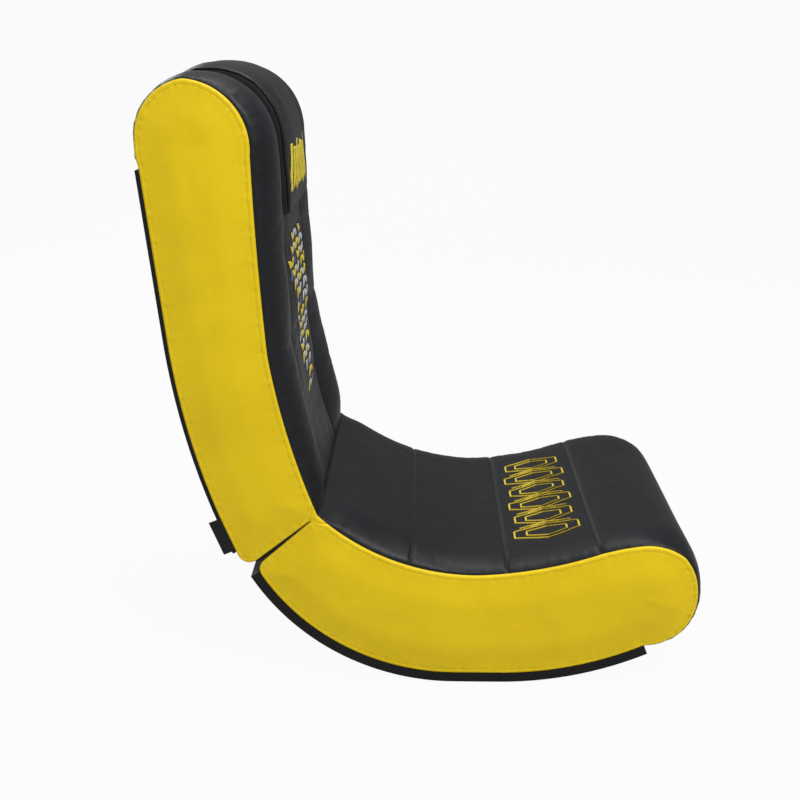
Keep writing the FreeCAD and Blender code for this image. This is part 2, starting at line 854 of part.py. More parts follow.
for name, side, sign in SIDES:
    blank = bent_piece("back_cheek_%s_blank" % name, back_cheek_path,
                       "sizes.back_cheek_thickness", CHEEK_PLACE % (sign, "back"), node=False)
    without("back_cheek_" + name, blank, Part.makeCompound(back_screw_room))
for label, rail in (("back_foot_rail", foot_rail), ("back_waist_rail", waist_rail),
                    ("back_head_rail", head_rail)):
    blank = bent_piece(label + "_blank", rail.path, RAIL_LENGTH % "back", node=False)
    without(label, blank, Part.makeCompound(back_screw_room + back_hinge_room.Solids))
group("back_frame_screws", frame_screws(back_screw_places, frame_outer_y))


def face_line(z):
    # The front side line of the backrest between the crease and the top of the face.
    if z < size.back_bend_z:
        centre, radius = back_lower_centre, size.back_lower_radius
    else:
        centre, radius = arc_centre(*back_side_path[FACE_TOP:FACE_TOP + 3]), size.back_face_radius
    return point(centre.x - math.sqrt(radius ** 2 - (z - centre.z) ** 2), z)


def strap(z):
    # An elastic strap across the cheeks' front edges.
    middle = z + size.strap_width / 2
    front = path_of(face_line(z), (face_line(middle), face_line(z + size.strap_width)))
    near = offset_path(front, size.back_foam_thickness + size.cover_thickness
                       + size.layer_clearance)
    deep = offset_path(front, strap_depth)
    return block(joined(near, deep[::-1]), frame_outer_y)


group("back_straps", [strap(size.strap_first_z + number * size.strap_spacing)
                      for number in range(STRAP_COUNT)])

panel_way = (back_waist - panel_top).normalize()
panel_line = path_of(
    back_foot,
    (size.back_rear_radius, back_waist),
    ((back_waist + panel_top) * 0.5, panel_top + panel_way * size.rear_panel_drop),
)
panel_inner = offset_path(panel_line, size.layer_clearance)
panel_outer = offset_path(panel_line, size.layer_clearance + size.rear_panel_thickness)
bent_piece("rear_panel", joined(panel_outer, panel_inner[::-1]),
           "sizes.overall_width - 2 * sizes.rear_panel_margin")


# Coverings of the two end faces in the fold, cut out round the hinge leaves

def leaf_windows(mirror):
    shapes = []
    for y in hinge_places:
        window = Part.makeBox(size.leaf_length + 1 + rail_start, size.hinge_width + 2, 8,
                              Vector(-rail_start, -size.hinge_width / 2 - 1, -6))
        window.Placement = fold_frame(y, mirror)
        shapes.append(window)
    return Part.makeCompound(shapes)


def end_cover(label, mirror, length):
    normal = to_back if mirror else to_seat
    corner = pivot + fold_way * rail_start + normal * size.end_cover_gap
    path = box_path(corner, fold_way * length, normal * size.end_cover_thickness)
    blank = bent_piece(label + "_blank", path, FRAME_WIDTH, node=False)
    without(label, blank, leaf_windows(mirror))


seat_end_length = (cheek_foot[-1] - pivot).dot(fold_way) - rail_start
back_end_length = (cheek_rounding[-1] - pivot).dot(fold_way) - rail_start
end_cover("seat_end_cover", False, seat_end_length)
end_cover("back_end_cover", True, back_end_length)


# Lofts across the chair through sections of the side view

def lofted(paths):
    # paths holds (y, closed path) pairs.
    wires = [Part.Wire(path_edges(moved(path, y))) for y, path in paths]
    return Part.makeLoft(wires, True, True)


def roll_stations(width, steps):
    # Distances in from a seam and the share of the full height there: an elliptic roll.
    turns = [90.0 * step / steps for step in range(steps + 1)]
    return [(width * (1 - math.cos(math.radians(turn))), math.sin(math.radians(turn)))
            for turn in turns]


# Side covers: padded panels with a rolled edge round their outer face

def side_cover(label, outline, side, room):
    roll = size.side_cover_round
    paths = [(side * cover_inner_y, outline)]
    for distance, share in roll_stations(roll, 3):
        paths.append((side * (half_width - roll * (1 - share)), offset_closed(outline, -distance)))
    return feature(label, lofted(paths).cut(room))


seat_end_point = pivot + to_seat * size.side_cover_gap
cover_foot = seat_foot_round(size.board_thickness + size.layer_clearance, seat_end_point, 1.5)
seat_side_outline = joined(
    seat_side_path,
    seat_bottom(size.board_thickness + size.layer_clearance, 1.5, 0.0),
    cover_foot)
back_end_point = pivot + to_back * size.side_cover_gap
back_end_way = direction(180 + size.fold_angle - size.fold_opening)
back_rounding = back_foot_round(back_foot, back_end_point, back_end_way)
back_side_outline = joined(back_side_path, back_rounding[::-1])

for name, side, sign in SIDES:
    side_cover("seat_side_cover_" + name, seat_side_outline, side,
               seat_cut(size.side_cover_gap))
    side_cover("back_side_cover_" + name, back_side_outline, side,
               back_cut(size.side_cover_gap, size.fold_opening))


# Padding and coverings

def section(outer, inner, y):
    return y, joined(outer, inner[::-1])


def mirrored(stations):
    # stations run from the side to the middle, y first.
    return [(y, *rest) for y, *rest in stations] + [(-y, *rest) for y, *rest in stations[-2::-1]]


def blend(low, high, share):
    return [a + (b - a) * share for a, b in zip(low, high)]


# Seat padding, and how far its covering stands proud of its line at each point of that
# line in the middle of the seat

seam = size.seat_seam_height
crown = size.seat_crown_height
seat_proud = [0.0, crown * 0.4, crown * 0.7, crown, seam, crown, seam, crown, seam,
              crown * 0.9, crown * 0.8, crown * 0.6, crown * 0.4, 3.0, 2.0, 1.5, 1.0, 0.5, 0.0]
SEAT_PANELS = (("seat_cover_rear", 0, 4), ("seat_cover_middle", 4, 6),
               ("seat_cover_front", 6, 8), ("seat_cover_nose", 8, 18))
SEAT_ROLL = 55.0
SEAT_NOSE_END = 16

seat_stations = mirrored(
    [(frame_outer_y - distance, share) for distance, share in roll_stations(SEAT_ROLL, 5)]
    + [(0.0, 1.08)])


def seat_surface(share, depth):
    return offset_path(seat_cover_path, [share * proud - depth for proud in seat_proud])


def seat_panel(first, last):
    return lofted([section(seat_surface(share, 0)[first:last + 1],
                           seat_surface(share, size.cover_thickness)[first:last + 1], y)
                   for y, share in seat_stations])


seat_room = seat_cut(size.side_cover_gap)
for label, first, last in SEAT_PANELS:
    panel = seat_panel(first, last)
    feature(label, panel.cut(seat_room) if first == 0 else panel)

foam_skin_depth = size.cover_thickness + size.layer_clearance
foam_base_depths = [deck_depth] * 13 + [cheek_depth - 1.2] + [cheek_depth - 0.5] * 3
foam_base = offset_path(seat_cover_path[:SEAT_NOSE_END + 1],
                        [size.layer_clearance / 2 - depth for depth in foam_base_depths])
foam_rear_radius = size.seat_rear_radius + deck_depth - size.layer_clearance / 2
foam_start = line_leaves_circle(pivot, fold_way, seat_rear_centre, foam_rear_radius)
foam_middle = middle_of_arc(foam_start, foam_base[REAR_SEAM], -foam_rear_radius)
foam_base[:REAR_SEAM] = [
    foam_start, middle_of_arc(foam_start, foam_middle, -foam_rear_radius),
    foam_middle, middle_of_arc(foam_middle, foam_base[REAR_SEAM], -foam_rear_radius)]
seat_foam = lofted([section(seat_surface(share, foam_skin_depth)[:SEAT_NOSE_END + 1],
                            foam_base, y) for y, share in seat_stations])
seat_foam = seat_foam.cut(seat_cut(leaf_back))
seat_foam = seat_foam.cut(block(rear_rail.room, frame_outer_y + 1))
feature("seat_foam", seat_foam)


# Backrest padding. The line from the rear panel over the head and down the face past
# the crease, and how far the covering stands proud of it along the crest of a bolster,
# along the seam beside it and in the middle.

pillow_low = face_line(size.pillow_low_z)
back_turn = face_line(size.crease_z + size.crease_turn)
back_root = pivot + direction(size.notch_back_angle) * crease_root
back_cover_path = path_of(
    panel_top,
    *head_steps,
    (-size.back_face_radius, pillow_low),
    (-size.back_face_radius, back_bend),
    (-size.back_lower_radius, back_turn),
    (size.crease_turn, back_root),
)
CREST = [3, 3.5, 4, 4.5, 5, 12, 22, 24, 24, 25, 24, 22, 16, 8, 0]
GROOVE = [2.5, 3, 3.5, 3, 1, 3, 13, 18, 20, 19, 16, 8, 2, 1, 0]
CENTRE = [3, 3.5, 4, 4, 3, 6, 17, 22, 23, 23, 20, 12, 4, 2, 0]
PILLOW_EDGE = [3.4, 3.8, 4, 5, 5.4, 17, 29, 30, 25]
PILLOW_CENTRE = [3.6, 4, 4, 5.4, 6, 20, 33, 34, 28]
BOLSTER_ROLL = 48.0
CENTRE_ROLL = 40.0
BOXING_ROLL = 14.0
PILLOW_BOXING = 0.72
PILLOW_END = 8

groove_y = half_width - size.bolster_width - 5
crest_y = frame_outer_y - BOLSTER_ROLL
side_stations = [(frame_outer_y - distance, [share * proud for proud in CREST])
                 for distance, share in roll_stations(BOLSTER_ROLL, 5)]
fall_stations = [(crest_y - (crest_y - groove_y) * math.sin(math.radians(turn)),
                  blend(CREST, GROOVE, 1 - math.cos(math.radians(turn))))
                 for turn in (30, 55, 75, 90)]
bolster_stations = side_stations + fall_stations
centre_rise = [(groove_y - distance, blend(GROOVE, CENTRE, share))
               for distance, share in roll_stations(CENTRE_ROLL, 3)]
centre_stations = mirrored(centre_rise + [(0.0, CENTRE)])


def back_surface(proud, depth):
    return offset_path(back_cover_path, [each - depth for each in proud])


back_room = back_cut(size.side_cover_gap)


def back_skin(stations):
    skin = lofted([section(back_surface(proud, 0), back_surface(proud, size.cover_thickness), y)
                   for y, proud in stations])
    return skin.cut(back_room)


feature("bolster_cover_left", back_skin(bolster_stations))
feature("bolster_cover_right", back_skin([(-y, proud) for y, proud in bolster_stations[::-1]]))
feature("back_centre_cover", back_skin(centre_stations))

all_stations = mirrored(bolster_stations + centre_rise[1:] + [(0.0, CENTRE)])
foam_back = offset_path(back_cover_path, -(back_layer - size.layer_clearance / 2))
foam_back[-1] = face_line(size.crease_z - 20) - forward * back_layer
foam_back[-2] = (foam_back[-3] + foam_back[-1]) * 0.5
back_foam = lofted([section(back_surface(proud, foam_skin_depth), foam_back, y)
                    for y, proud in all_stations])
back_foam = back_foam.cut(back_cut(leaf_back))
back_foam = back_foam.cut(block(foot_rail.room, frame_outer_y + 1))
feature("back_foam", back_foam)

pillow_steps = roll_stations(BOXING_ROLL, 3)


def centre_at(distance):
    # The centre covering's height that far in from its seam, as its loft runs.
    for (near, low), (deep, high) in zip(centre_rise, centre_rise[1:]):
        if near >= groove_y - distance >= deep:
            return blend(low, high, (near - groove_y + distance) / (near - deep))
    return CENTRE


def pillow_section(distance, share):
    # distance is measured in from the seam beside the pillow.
    edge_share = PILLOW_BOXING + (1 - PILLOW_BOXING) * share
    top = [each * edge_share for each in blend(PILLOW_EDGE, PILLOW_CENTRE, share)]
    base = [each + 2 * size.layer_clearance for each in centre_at(distance)[:PILLOW_END + 1]]
    top = [max(high, low + 0.5) for high, low in zip(top, base)]
    line = back_cover_path[:PILLOW_END + 1]
    normals = path_normals(back_cover_path)[:PILLOW_END + 1]
    outer = [p + n * d for p, n, d in zip(line, normals, top)]
    inner = [p + n * d for p, n, d in zip(line, normals, base)]
    return outer, inner


pillow_stations = [(size.pillow_side_gap + distance, share) for distance, share in pillow_steps]
pillow_stations += [(groove_y - near, 1.0) for near, proud in centre_rise[1:]
                    if groove_y - near > pillow_stations[-1][0] + 1]
pillow_stations += [(groove_y, 1.0)]
pillow_sections = [section(*pillow_section(distance, share), groove_y - distance)
                   for distance, share in pillow_stations]
pillow_sections += [section(*pillow_section(distance, share), distance - groove_y)
                    for distance, share in pillow_stations[-2::-1]]
feature("headrest_pillow", lofted(pillow_sections))


# Fabric tag in the seam at the rear edge, on the chair's right side

rear_centre = arc_centre(*back_side_path[:3])


def rear_line(z):
    return point(rear_centre.x - math.sqrt(size.back_rear_radius ** 2
                                           - (z - rear_centre.z) ** 2), z)


tag_bottom = rear_line(size.tag_height_z - size.tag_width / 2)
tag_top = rear_line(size.tag_height_z + size.tag_width / 2)
tag_out = left_of(tag_top - tag_bottom)
tag_root = size.layer_clearance
tag_reach = size.rear_panel_thickness + size.tag_stand_out
tag_path = straight(tag_bottom + tag_out * tag_root, tag_bottom + tag_out * tag_reach,
                    tag_top + tag_out * tag_reach, tag_top + tag_out * tag_root,
                    tag_bottom + tag_out * tag_root)
bent_piece("seam_tag", tag_path, "sizes.tag_thickness",
           "-(sizes.overall_width / 2 - sizes.tag_thickness / 2)")


# Check and write the pieces

doc.recompute()
for item in doc.Objects:
    if "Invalid" in item.State or "Error" in item.State:
        raise RuntimeError("failed: %s %s" % (item.Label, item.State))
os.makedirs("parts", exist_ok=True)
for item in nodes:
    shape = item.Shape
    if shape.isNull() or not shape.isValid() or not shape.Solids:
        raise RuntimeError("not a valid solid: " + item.Label)
    box = shape.BoundBox
    print("%-26s solids %2d  volume %9.0f  x %.1f..%.1f  y %.1f..%.1f  z %.1f..%.1f" % (
        item.Label, len(shape.Solids), shape.Volume, box.XMin, box.XMax, box.YMin, box.YMax,
        box.ZMin, box.ZMax))
    shape.exportStep(os.path.join("parts", item.Label + ".step"))
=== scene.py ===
import math

import bpy
import numpy as np
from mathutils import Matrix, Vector
from mathutils.geometry import delaunay_2d_cdt


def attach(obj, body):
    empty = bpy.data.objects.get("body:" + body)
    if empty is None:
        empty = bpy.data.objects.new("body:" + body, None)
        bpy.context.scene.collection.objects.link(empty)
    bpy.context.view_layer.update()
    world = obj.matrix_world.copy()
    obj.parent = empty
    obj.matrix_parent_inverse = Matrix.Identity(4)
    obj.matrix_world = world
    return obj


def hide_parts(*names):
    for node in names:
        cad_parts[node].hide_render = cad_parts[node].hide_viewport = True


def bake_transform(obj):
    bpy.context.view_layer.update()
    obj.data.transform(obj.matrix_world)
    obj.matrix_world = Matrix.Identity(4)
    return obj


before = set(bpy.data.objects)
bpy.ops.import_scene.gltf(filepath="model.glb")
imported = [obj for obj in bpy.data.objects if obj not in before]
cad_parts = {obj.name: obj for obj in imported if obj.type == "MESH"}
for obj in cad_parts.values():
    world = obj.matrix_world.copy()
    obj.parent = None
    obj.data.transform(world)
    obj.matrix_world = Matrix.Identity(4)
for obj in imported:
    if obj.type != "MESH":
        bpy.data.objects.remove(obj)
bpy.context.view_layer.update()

# Folding floor rocker chair. The outlines are in millimetres, as in the CAD, and become
# metres where a mesh is made.
mm = 0.001


scene = bpy.context.scene


def linked(name, data):
    piece = bpy.data.objects.new(name, data)
    scene.collection.objects.link(piece)
    return piece


# Camera, at the photograph's angle
cameraValues = {"place": (-0.0112, -1.6655, 0.8468), "lens": 53.7, "sensor": 36, "pitch": 17.2,
                "yaw": 1.06}
cameraData = bpy.data.cameras.new("studioCamera")
cameraData.lens = cameraValues["lens"]
cameraData.sensor_width = cameraValues["sensor"]
camera = linked("studioCamera", cameraData)
camera.location = cameraValues["place"]
camera.rotation_euler = [math.radians(angle) for angle in (
    90 - cameraValues["pitch"], 0, cameraValues["yaw"])]
scene.camera = camera
print("camera ready")


# Materials
def linear(hexColour):
    channels = [int(hexColour[at:at + 2], 16) / 255 for at in (1, 3, 5)]
    return [c / 12.92 if c <= 0.04045 else ((c + 0.055) / 1.055) ** 2.4 for c in channels] + [1.0]


def join(tree, value, socket):
    # Links a socket, or a node by its first output, and sets any other value.
    if isinstance(value, bpy.types.Node):
        value = value.outputs[0]
    if isinstance(value, bpy.types.NodeSocket):
        tree.links.new(value, socket)
    else:
        socket.default_value = value


def addNode(tree, kind, settings=None, **inputs):
    # Inputs are set by name or, where a name has spaces or repeats, by _number.
    node = tree.nodes.new(kind)
    for name, value in (settings or {}).items():
        setattr(node, name, value)
    for name, value in inputs.items():
        key = int(name[1:]) if name[0] == "_" else name.replace("_", " ")
        join(tree, value, node.inputs[key])
    return node


def newMaterial(name, **constants):
    material = bpy.data.materials.new(name)
    material.use_nodes = True
    tree = material.node_tree
    for key, value in constants.items():
        tree.nodes["Principled BSDF"].inputs[key.replace("_", " ")].default_value = value
    return material, tree, addNode(tree, "ShaderNodeTexCoord").outputs["Object"]


def colourMix(tree, factor, low, high):
    mix = addNode(tree, "ShaderNodeMix", {"data_type": "RGBA"}, _0=factor, _6=low, _7=high)
    return mix.outputs[2]


def spread(tree, value, low, high, toLow, toHigh):
    return addNode(tree, "ShaderNodeMapRange", _0=value, _1=low, _2=high, _3=toLow, _4=toHigh)


def noise(tree, place, scale, detail, **more):
    return addNode(tree, "ShaderNodeTexNoise", Vector=place, Scale=scale, Detail=detail, **more)


def worked(tree, operation, *values):
    inputs = {"_%d" % at: value for at, value in enumerate(values)}
    return addNode(tree, "ShaderNodeMath", {"operation": operation}, **inputs)


def finished(material, skin, rough, height=None, strength=0.0, distance=0.0, **more):
    # Joins the colour, the roughness and a bump from the height to the shader.
    tree = material.node_tree
    shader = tree.nodes["Principled BSDF"]
    join(tree, skin, shader.inputs["Base Color"])
    join(tree, rough, shader.inputs["Roughness"])
    if height is not None:
        bump = addNode(tree, "ShaderNodeBump", Strength=strength, Distance=distance,
                       Height=height, **more)
        join(tree, bump, shader.inputs["Normal"])
    return material


def fauxLeather(name, values):
    # A foamed skin on knitted cloth, embossed with a pebble grain that breaks up its gloss.
    material, tree, place = newMaterial(
        name, Specular_IOR_Level=values["specular"], Sheen_Weight=values["sheen"],
        Sheen_Roughness=0.5, IOR=1.5)
    cells = addNode(tree, "ShaderNodeTexVoronoi", {"feature": "SMOOTH_F1"}, Vector=place,
                    Scale=1000 / values["grain"], Smoothness=0.6, Randomness=0.9)
    fine = noise(tree, place, 1000 / values["fine"], 3.0)
    hand = noise(tree, place, 1000 / values["cloud"], 2.5, Roughness=0.55)
    skin = colourMix(tree, spread(tree, hand, 0.3, 0.7, 0.0, 1.0), linear(values["shade"]),
                     linear(values["face"]))
    skin = colourMix(tree, spread(tree, cells, 0.1, 0.75, 0.0, values["dots"]), skin,
                     linear(values["valley"]))
    gloss = spread(tree, fine, 0.3, 0.7, values["rough"] - 0.05, values["rough"] + 0.06)
    grain = addNode(tree, "ShaderNodeBump", {"invert": True}, Strength=values["bump"],
                    Distance=0.0006, Height=cells)
    return finished(material, skin, gloss, hand, 0.25, 0.0012, Normal=grain)


def wovenCloth(name, face, valley, thread, rough):
    # Plain-woven backing cloth: two crossing sets of threads, drawn at twice their real
    # spacing so that the weave shows. Two threads take one wave of the texture.
    material, tree, place = newMaterial(name, Sheen_Weight=0.2, Sheen_Roughness=0.4,
                                        Specular_IOR_Level=0.25)
    waves = [addNode(tree, "ShaderNodeTexWave", {"bands_direction": axis}, Vector=place,
                     Scale=1000 / thread / 20 * 3.14, Distortion=0.4, Detail=1.0).outputs[1]
             for axis in ("X", "Y", "Z")]
    weave = worked(tree, "ADD", worked(tree, "MULTIPLY", waves[0], waves[1]), waves[2])
    skin = colourMix(tree, spread(tree, weave, 0.0, 1.6, 0.0, 1.0), linear(valley), linear(face))
    gloss = spread(tree, weave, 0.0, 1.6, rough + 0.06, rough - 0.06)
    return finished(material, skin, gloss, weave, 0.5, 0.0004)


def flecked(name, low, high, values, **constants):
    # A finish whose colour and gloss follow one fine noise.
    material, tree, place = newMaterial(name, **constants)
    fleck = noise(tree, place, values["scale"], values["detail"])
    skin = colourMix(tree, spread(tree, fleck, *values["tone"]), linear(low), linear(high))
    return finished(material, skin, spread(tree, fleck, *values["gloss"]),
                    fleck if values["bump"] else None, values["bump"], 0.0002)


def zincSteel(name, face, rough):
    # Pressed steel with a clear zinc coat: grey, a little mottled, lightly brushed.
    return flecked(name, "#8d8f90", face, {
        "scale": 180.0, "detail": 4.0, "tone": (0.0, 1.0, 0.0, 1.0), "bump": 0.15,
        "gloss": (0.3, 0.7, rough - 0.08, rough + 0.1)}, Metallic=1.0)


def planedPine(name):
    # Planed softwood: growth rings seen along the board.
    material, tree, place = newMaterial(name, Specular_IOR_Level=0.3)
    rings = addNode(tree, "ShaderNodeTexWave", {"bands_direction": "Z"}, Vector=place,
                    Scale=16.0, Distortion=5.0, Detail=3.0, Detail_Scale=0.6).outputs[1]
    pores = noise(tree, place, 900.0, 2.0)
    return finished(material, colourMix(tree, rings, linear("#c39a63"), linear("#dcbd8a")),
                    spread(tree, pores, 0.3, 0.7, 0.55, 0.75), pores, 0.2, 0.0003)


def threadMaterial(name, face, valley, rough):
    # Twisted polyester sewing thread, two plies, with the soft shine of its filaments.
    return flecked(name, valley, face, {
        "scale": 1600.0, "detail": 1.0, "tone": (0.0, 1.0, 0.0, 1.0), "bump": 0.0,
        "gloss": (0.2, 0.8, rough - 0.08, rough + 0.08)},
        Sheen_Weight=0.3, Sheen_Roughness=0.3, Specular_IOR_Level=0.5)


def printedFilm(name, face, worn):
    # Heat-transfer film: flat colour, a little glossier than the leather, with fine wear.
    return flecked(name, face, worn, {
        "scale": 420.0, "detail": 4.0, "tone": (0.45, 0.72, 0.0, 0.7), "bump": 0.0,
        "gloss": (0.3, 0.7, 0.42, 0.56)}, Specular_IOR_Level=0.45)


# The grain is drawn two to three times as coarse as the real one, which is too fine to show.
yellowLeather = fauxLeather("yellowFauxLeather", {
    "face": "#eccd06", "shade": "#e4c405", "valley": "#b89604", "dots": 0.16, "grain": 1.7,
    "fine": 2.4, "cloud": 90.0, "bump": 0.2, "rough": 0.52, "specular": 0.3, "sheen": 0.05})
blackLeather = fauxLeather("blackFauxLeather", {
    "face": "#13151a", "shade": "#101216", "valley": "#0a0b0e", "dots": 0.3, "grain": 1.7,
    "fine": 2.4, "cloud": 80.0, "bump": 0.16, "rough": 0.48, "specular": 0.32, "sheen": 0.02})
backingCloth = wovenCloth("blackBackingCloth", "#1d1d20", "#0b0b0c", 1.6, 0.82)
boardCloth = wovenCloth("blackBoardCloth", "#18181b", "#090909", 2.0, 0.75)
webbing = wovenCloth("elasticWebbing", "#2a2a2d", "#101011", 2.4, 0.7)
satinRibbon = wovenCloth("blackSatinRibbon", "#1b1b1d", "#0c0c0d", 0.9, 0.45)
hingeSteel = zincSteel("zincPlatedHingeSteel", "#b9bbbd", 0.38)
screwSteel = zincSteel("zincPlatedScrewSteel", "#c6c8c9", 0.3)
pine = planedPine("planedPine")
yellowThread = threadMaterial("yellowSewingThread", "#d9bf12", "#a98f06", 0.5)
# This thread also makes the cords along the long seams, which are painted seam shadows.
blackThreadAndSeamShadow = threadMaterial("blackSewingThreadAndSeamShadow", "#1a1a1c", "#0a0a0b", 0.5)
embroideryThread = threadMaterial("yellowEmbroideryThread", "#f2dc3a", "#b79a1c", 0.35)
printYellow = printedFilm("yellowPrintFilm", "#ecd626", "#7d7118")
printSilver = printedFilm("silverPrintFilm", "#c9ccd0", "#6d7076")
printSlate = printedFilm("slatePrintFilm", "#5d6680", "#2c3040")
printBlack = printedFilm("blackPrintFilm", "#08080a", "#17181b")
print("materials ready")


# Lines of the side view
def unit(vectors):
    return vectors / np.linalg.norm(vectors, axis=-1, keepdims=True)


def lengthsAlong(points):
    return np.append(0, np.cumsum(np.hypot(*np.diff(points, axis=0).T)))


def arcPoints(start, end, radius):
    # Points 1 mm apart along an arc, its start left out. A positive radius bulges to the
    # left of the way from start to end, and None is a straight run.
    chord = end - start
    length = np.hypot(*chord)
    shares = np.arange(1, max(int(length), 2) + 1) / max(int(length), 2)
    if radius is None:
        return start + shares[:, None] * chord
    left = np.array([-chord[1], chord[0]]) / length
    rise = math.sqrt(radius ** 2 - (length / 2) ** 2)
    centre = (start + end) / 2 - left * math.copysign(rise, radius)
    first = math.atan2(start[1] - centre[1], start[0] - centre[0])
    sweep = 2 * math.asin(length / 2 / abs(radius)) * -math.copysign(1, radius)
    angles = first + sweep * shares
    return centre + abs(radius) * np.column_stack([np.cos(angles), np.sin(angles)])


class SideLine:
    # A line of the side view by its length, with the outward way at each point.
    def __init__(self, first, *steps):
        runs = [np.array([first], float)]
        knots = [0]
        for radius, end in steps:
            runs.append(arcPoints(runs[-1][-1], np.array(end, float), radius))
            knots.append(knots[-1] + len(runs[-1]))
        self.points = np.concatenate(runs)
        self.lengths = lengthsAlong(self.points)
        self.knots = self.lengths[knots]
        ways = np.gradient(self.points, self.lengths, axis=0)
        padded = np.pad(ways, ((9, 9), (0, 0)), mode="edge")
        ways = unit(sum(padded[step:step + len(ways)] for step in range(19)))
        self.normals = np.column_stack([-ways[:, 1], ways[:, 0]])

    def at(self, along):
        return [np.interp(along, self.lengths, column)
                for column in (*self.points.T, *self.normals.T)]

    def lengthAtX(self, x):
        return float(np.interp(x, self.points[:, 0], self.lengths))

    def lengthAtZ(self, z, after):
        later = self.lengths >= after
        return float(np.interp(-z, -self.points[later, 1], self.lengths[later]))


def wayOf(angle):
    return np.array([math.cos(math.radians(angle)), math.sin(math.radians(angle))])


chair = {"padHalfWidth": 221.0, "crease": (-146.3, 241.0), "foldAngle": 41.6,
         "foldOpening": 3.4, "pivotDepth": 10.0, "seatNotch": -13.5, "backNotch": 83.5,
         "blendReach": 26.0}
crease = np.array(chair["crease"])
foldWay = -wayOf(chair["foldAngle"])
toBack = np.array([foldWay[1], -foldWay[0]])
pivot = crease + foldWay * chair["pivotDepth"]

lip = (289.9, 55.8)
noseRuns = [(78, (338, 184)), (78, (357.4, 138)), (78, (338, 76)), (78, lip)]
seatLine = SideLine(crease, (-303.5, (67, 156.7)), (-544, (227, 188.4)), (312, (282, 200.5)),
                    *noseRuns)
headRuns = [(72, (-355.2, 717)), (72, (-295, 793.4)), (82, (-217.5, 704))]
faceRuns = [(-4000, (-204.5, 455)), (-1000, tuple(crease))]
backLine = SideLine((-352, 690), *headRuns, *faceRuns)
headRear, headTop, faceTop, _, backEnd = backLine.knots[1:]


# Small numeric helpers
def smooth(share):
    share = np.clip(share, 0, 1)
    return share * share * (3 - 2 * share)


def roll(distance, width):
    # The share of its height that a stuffed edge has reached, an elliptic quarter.
    return np.sqrt(np.clip(1 - (1 - np.clip(distance / width, 0, 1)) ** 2, 0, 1))


def ripple(along, spacing, seed):
    # An uneven wave between about -1 and 1, its crests about spacing apart.
    phases = np.random.default_rng(seed).uniform(0, 2 * math.pi, 4)
    waves = [np.sin(2 * math.pi * along / (spacing * stretch) + phase)
             for stretch, phase in zip((0.73, 1.0, 1.41, 2.3), phases)]
    return sum(waves) / 2.4


def blurred(grid, width):
    for axis in (0, 1):
        reach = int(width * 2.5)
        weights = np.exp(-0.5 * (np.arange(-reach, reach + 1) / width) ** 2)
        weights /= weights.sum()
        margin = [(0, 0)] * grid.ndim
        margin[axis] = (reach, reach)
        padded = np.pad(grid, margin, mode="edge")
        size = grid.shape[axis]
        grid = sum(weight * np.take(padded, range(at, at + size), axis=axis)
                   for at, weight in enumerate(weights))
    return grid


def keyed(along, keys):
    # Values between the keys' values, eased so that no kink shows.
    places, values = zip(*keys)
    near = [np.interp(along + shift, places, values) for shift in (-18, -9, 0, 9, 18)]
    return (near[0] + 2 * near[1] + 3 * near[2] + 2 * near[3] + near[4]) / 9


def newObject(name, points, faces, material):
    mesh = bpy.data.meshes.new(name)
    mesh.from_pydata([tuple(p) for p in np.asarray(points) * mm], [], faces)
    mesh.update()
    mesh.polygons.foreach_set("use_smooth", [True] * len(mesh.polygons))
    if material:
        mesh.materials.append(material)
    return linked(name, mesh)


def gridFaces(rows, columns, first=0, flip=False):
    corners = [first + row * columns + column for row in range(rows - 1)
               for column in range(columns - 1)]
    faces = [(a, a + columns, a + columns + 1, a + 1) for a in corners]
    return [face[::-1] for face in faces] if flip else faces


def closedPad(name, top, bottom, material):
    # A stuffed form: its covering above, its base below and a wall between their edges.
    rows, columns = top.shape[:2]
    count = rows * columns
    points = np.concatenate([top.reshape(-1, 3), bottom.reshape(-1, 3)])
    faces = gridFaces(rows, columns) + gridFaces(rows, columns, count, flip=True)
    rim = list(range(columns))
    rim += [row * columns + columns - 1 for row in range(1, rows)]
    rim += [(rows - 1) * columns + column for column in range(columns - 2, -1, -1)]
    rim += [row * columns for row in range(rows - 2, 0, -1)]
    faces += [(here, after, after + count, here + count)
              for here, after in zip(rim, rim[1:] + rim[:1])]
    return newObject(name, points, faces, material)


def overLine(line, along, across, height):
    # A grid of points height above the line, along it by rows and across by columns.
    x, z, outX, outZ = line.at(along)
    return np.stack([x[:, None] + outX[:, None] * height, across + 0 * height,
                     z[:, None] + outZ[:, None] * height], axis=-1)


# Distances in from a rolled edge, where a padding's points lie closer together
edgeSteps = (0, 0.4, 1.2, 2.4, 4.2, 6.6, 9.6, 13.0)


def stationsAcross(half, step, seams):
    # Places across the pad, closer together at its edges and beside its seams.
    near = half - np.array(edgeSteps)
    middle = np.linspace(-near[-1], near[-1], int(2 * near[-1] / step) + 1)[1:-1]
    places = np.concatenate([-near, middle, near[::-1]])
    extra = [sign * (seam + shift) for seam in seams for sign in (-1, 1)
             for shift in (-3.2, -1.5, -0.5, 0.5, 1.5, 3.2)]
    places = np.unique(np.concatenate([places, extra]).round(2))
    return places[np.concatenate([[True], np.diff(places) > 0.35])]


clothValues = {"frames": 18, "pressure": 4.0, "slack": 0.02, "cap": 8.0, "mass": 0.4,
               "stretch": 30, "shear": 12, "bending": 1.2, "foldSize": 9}


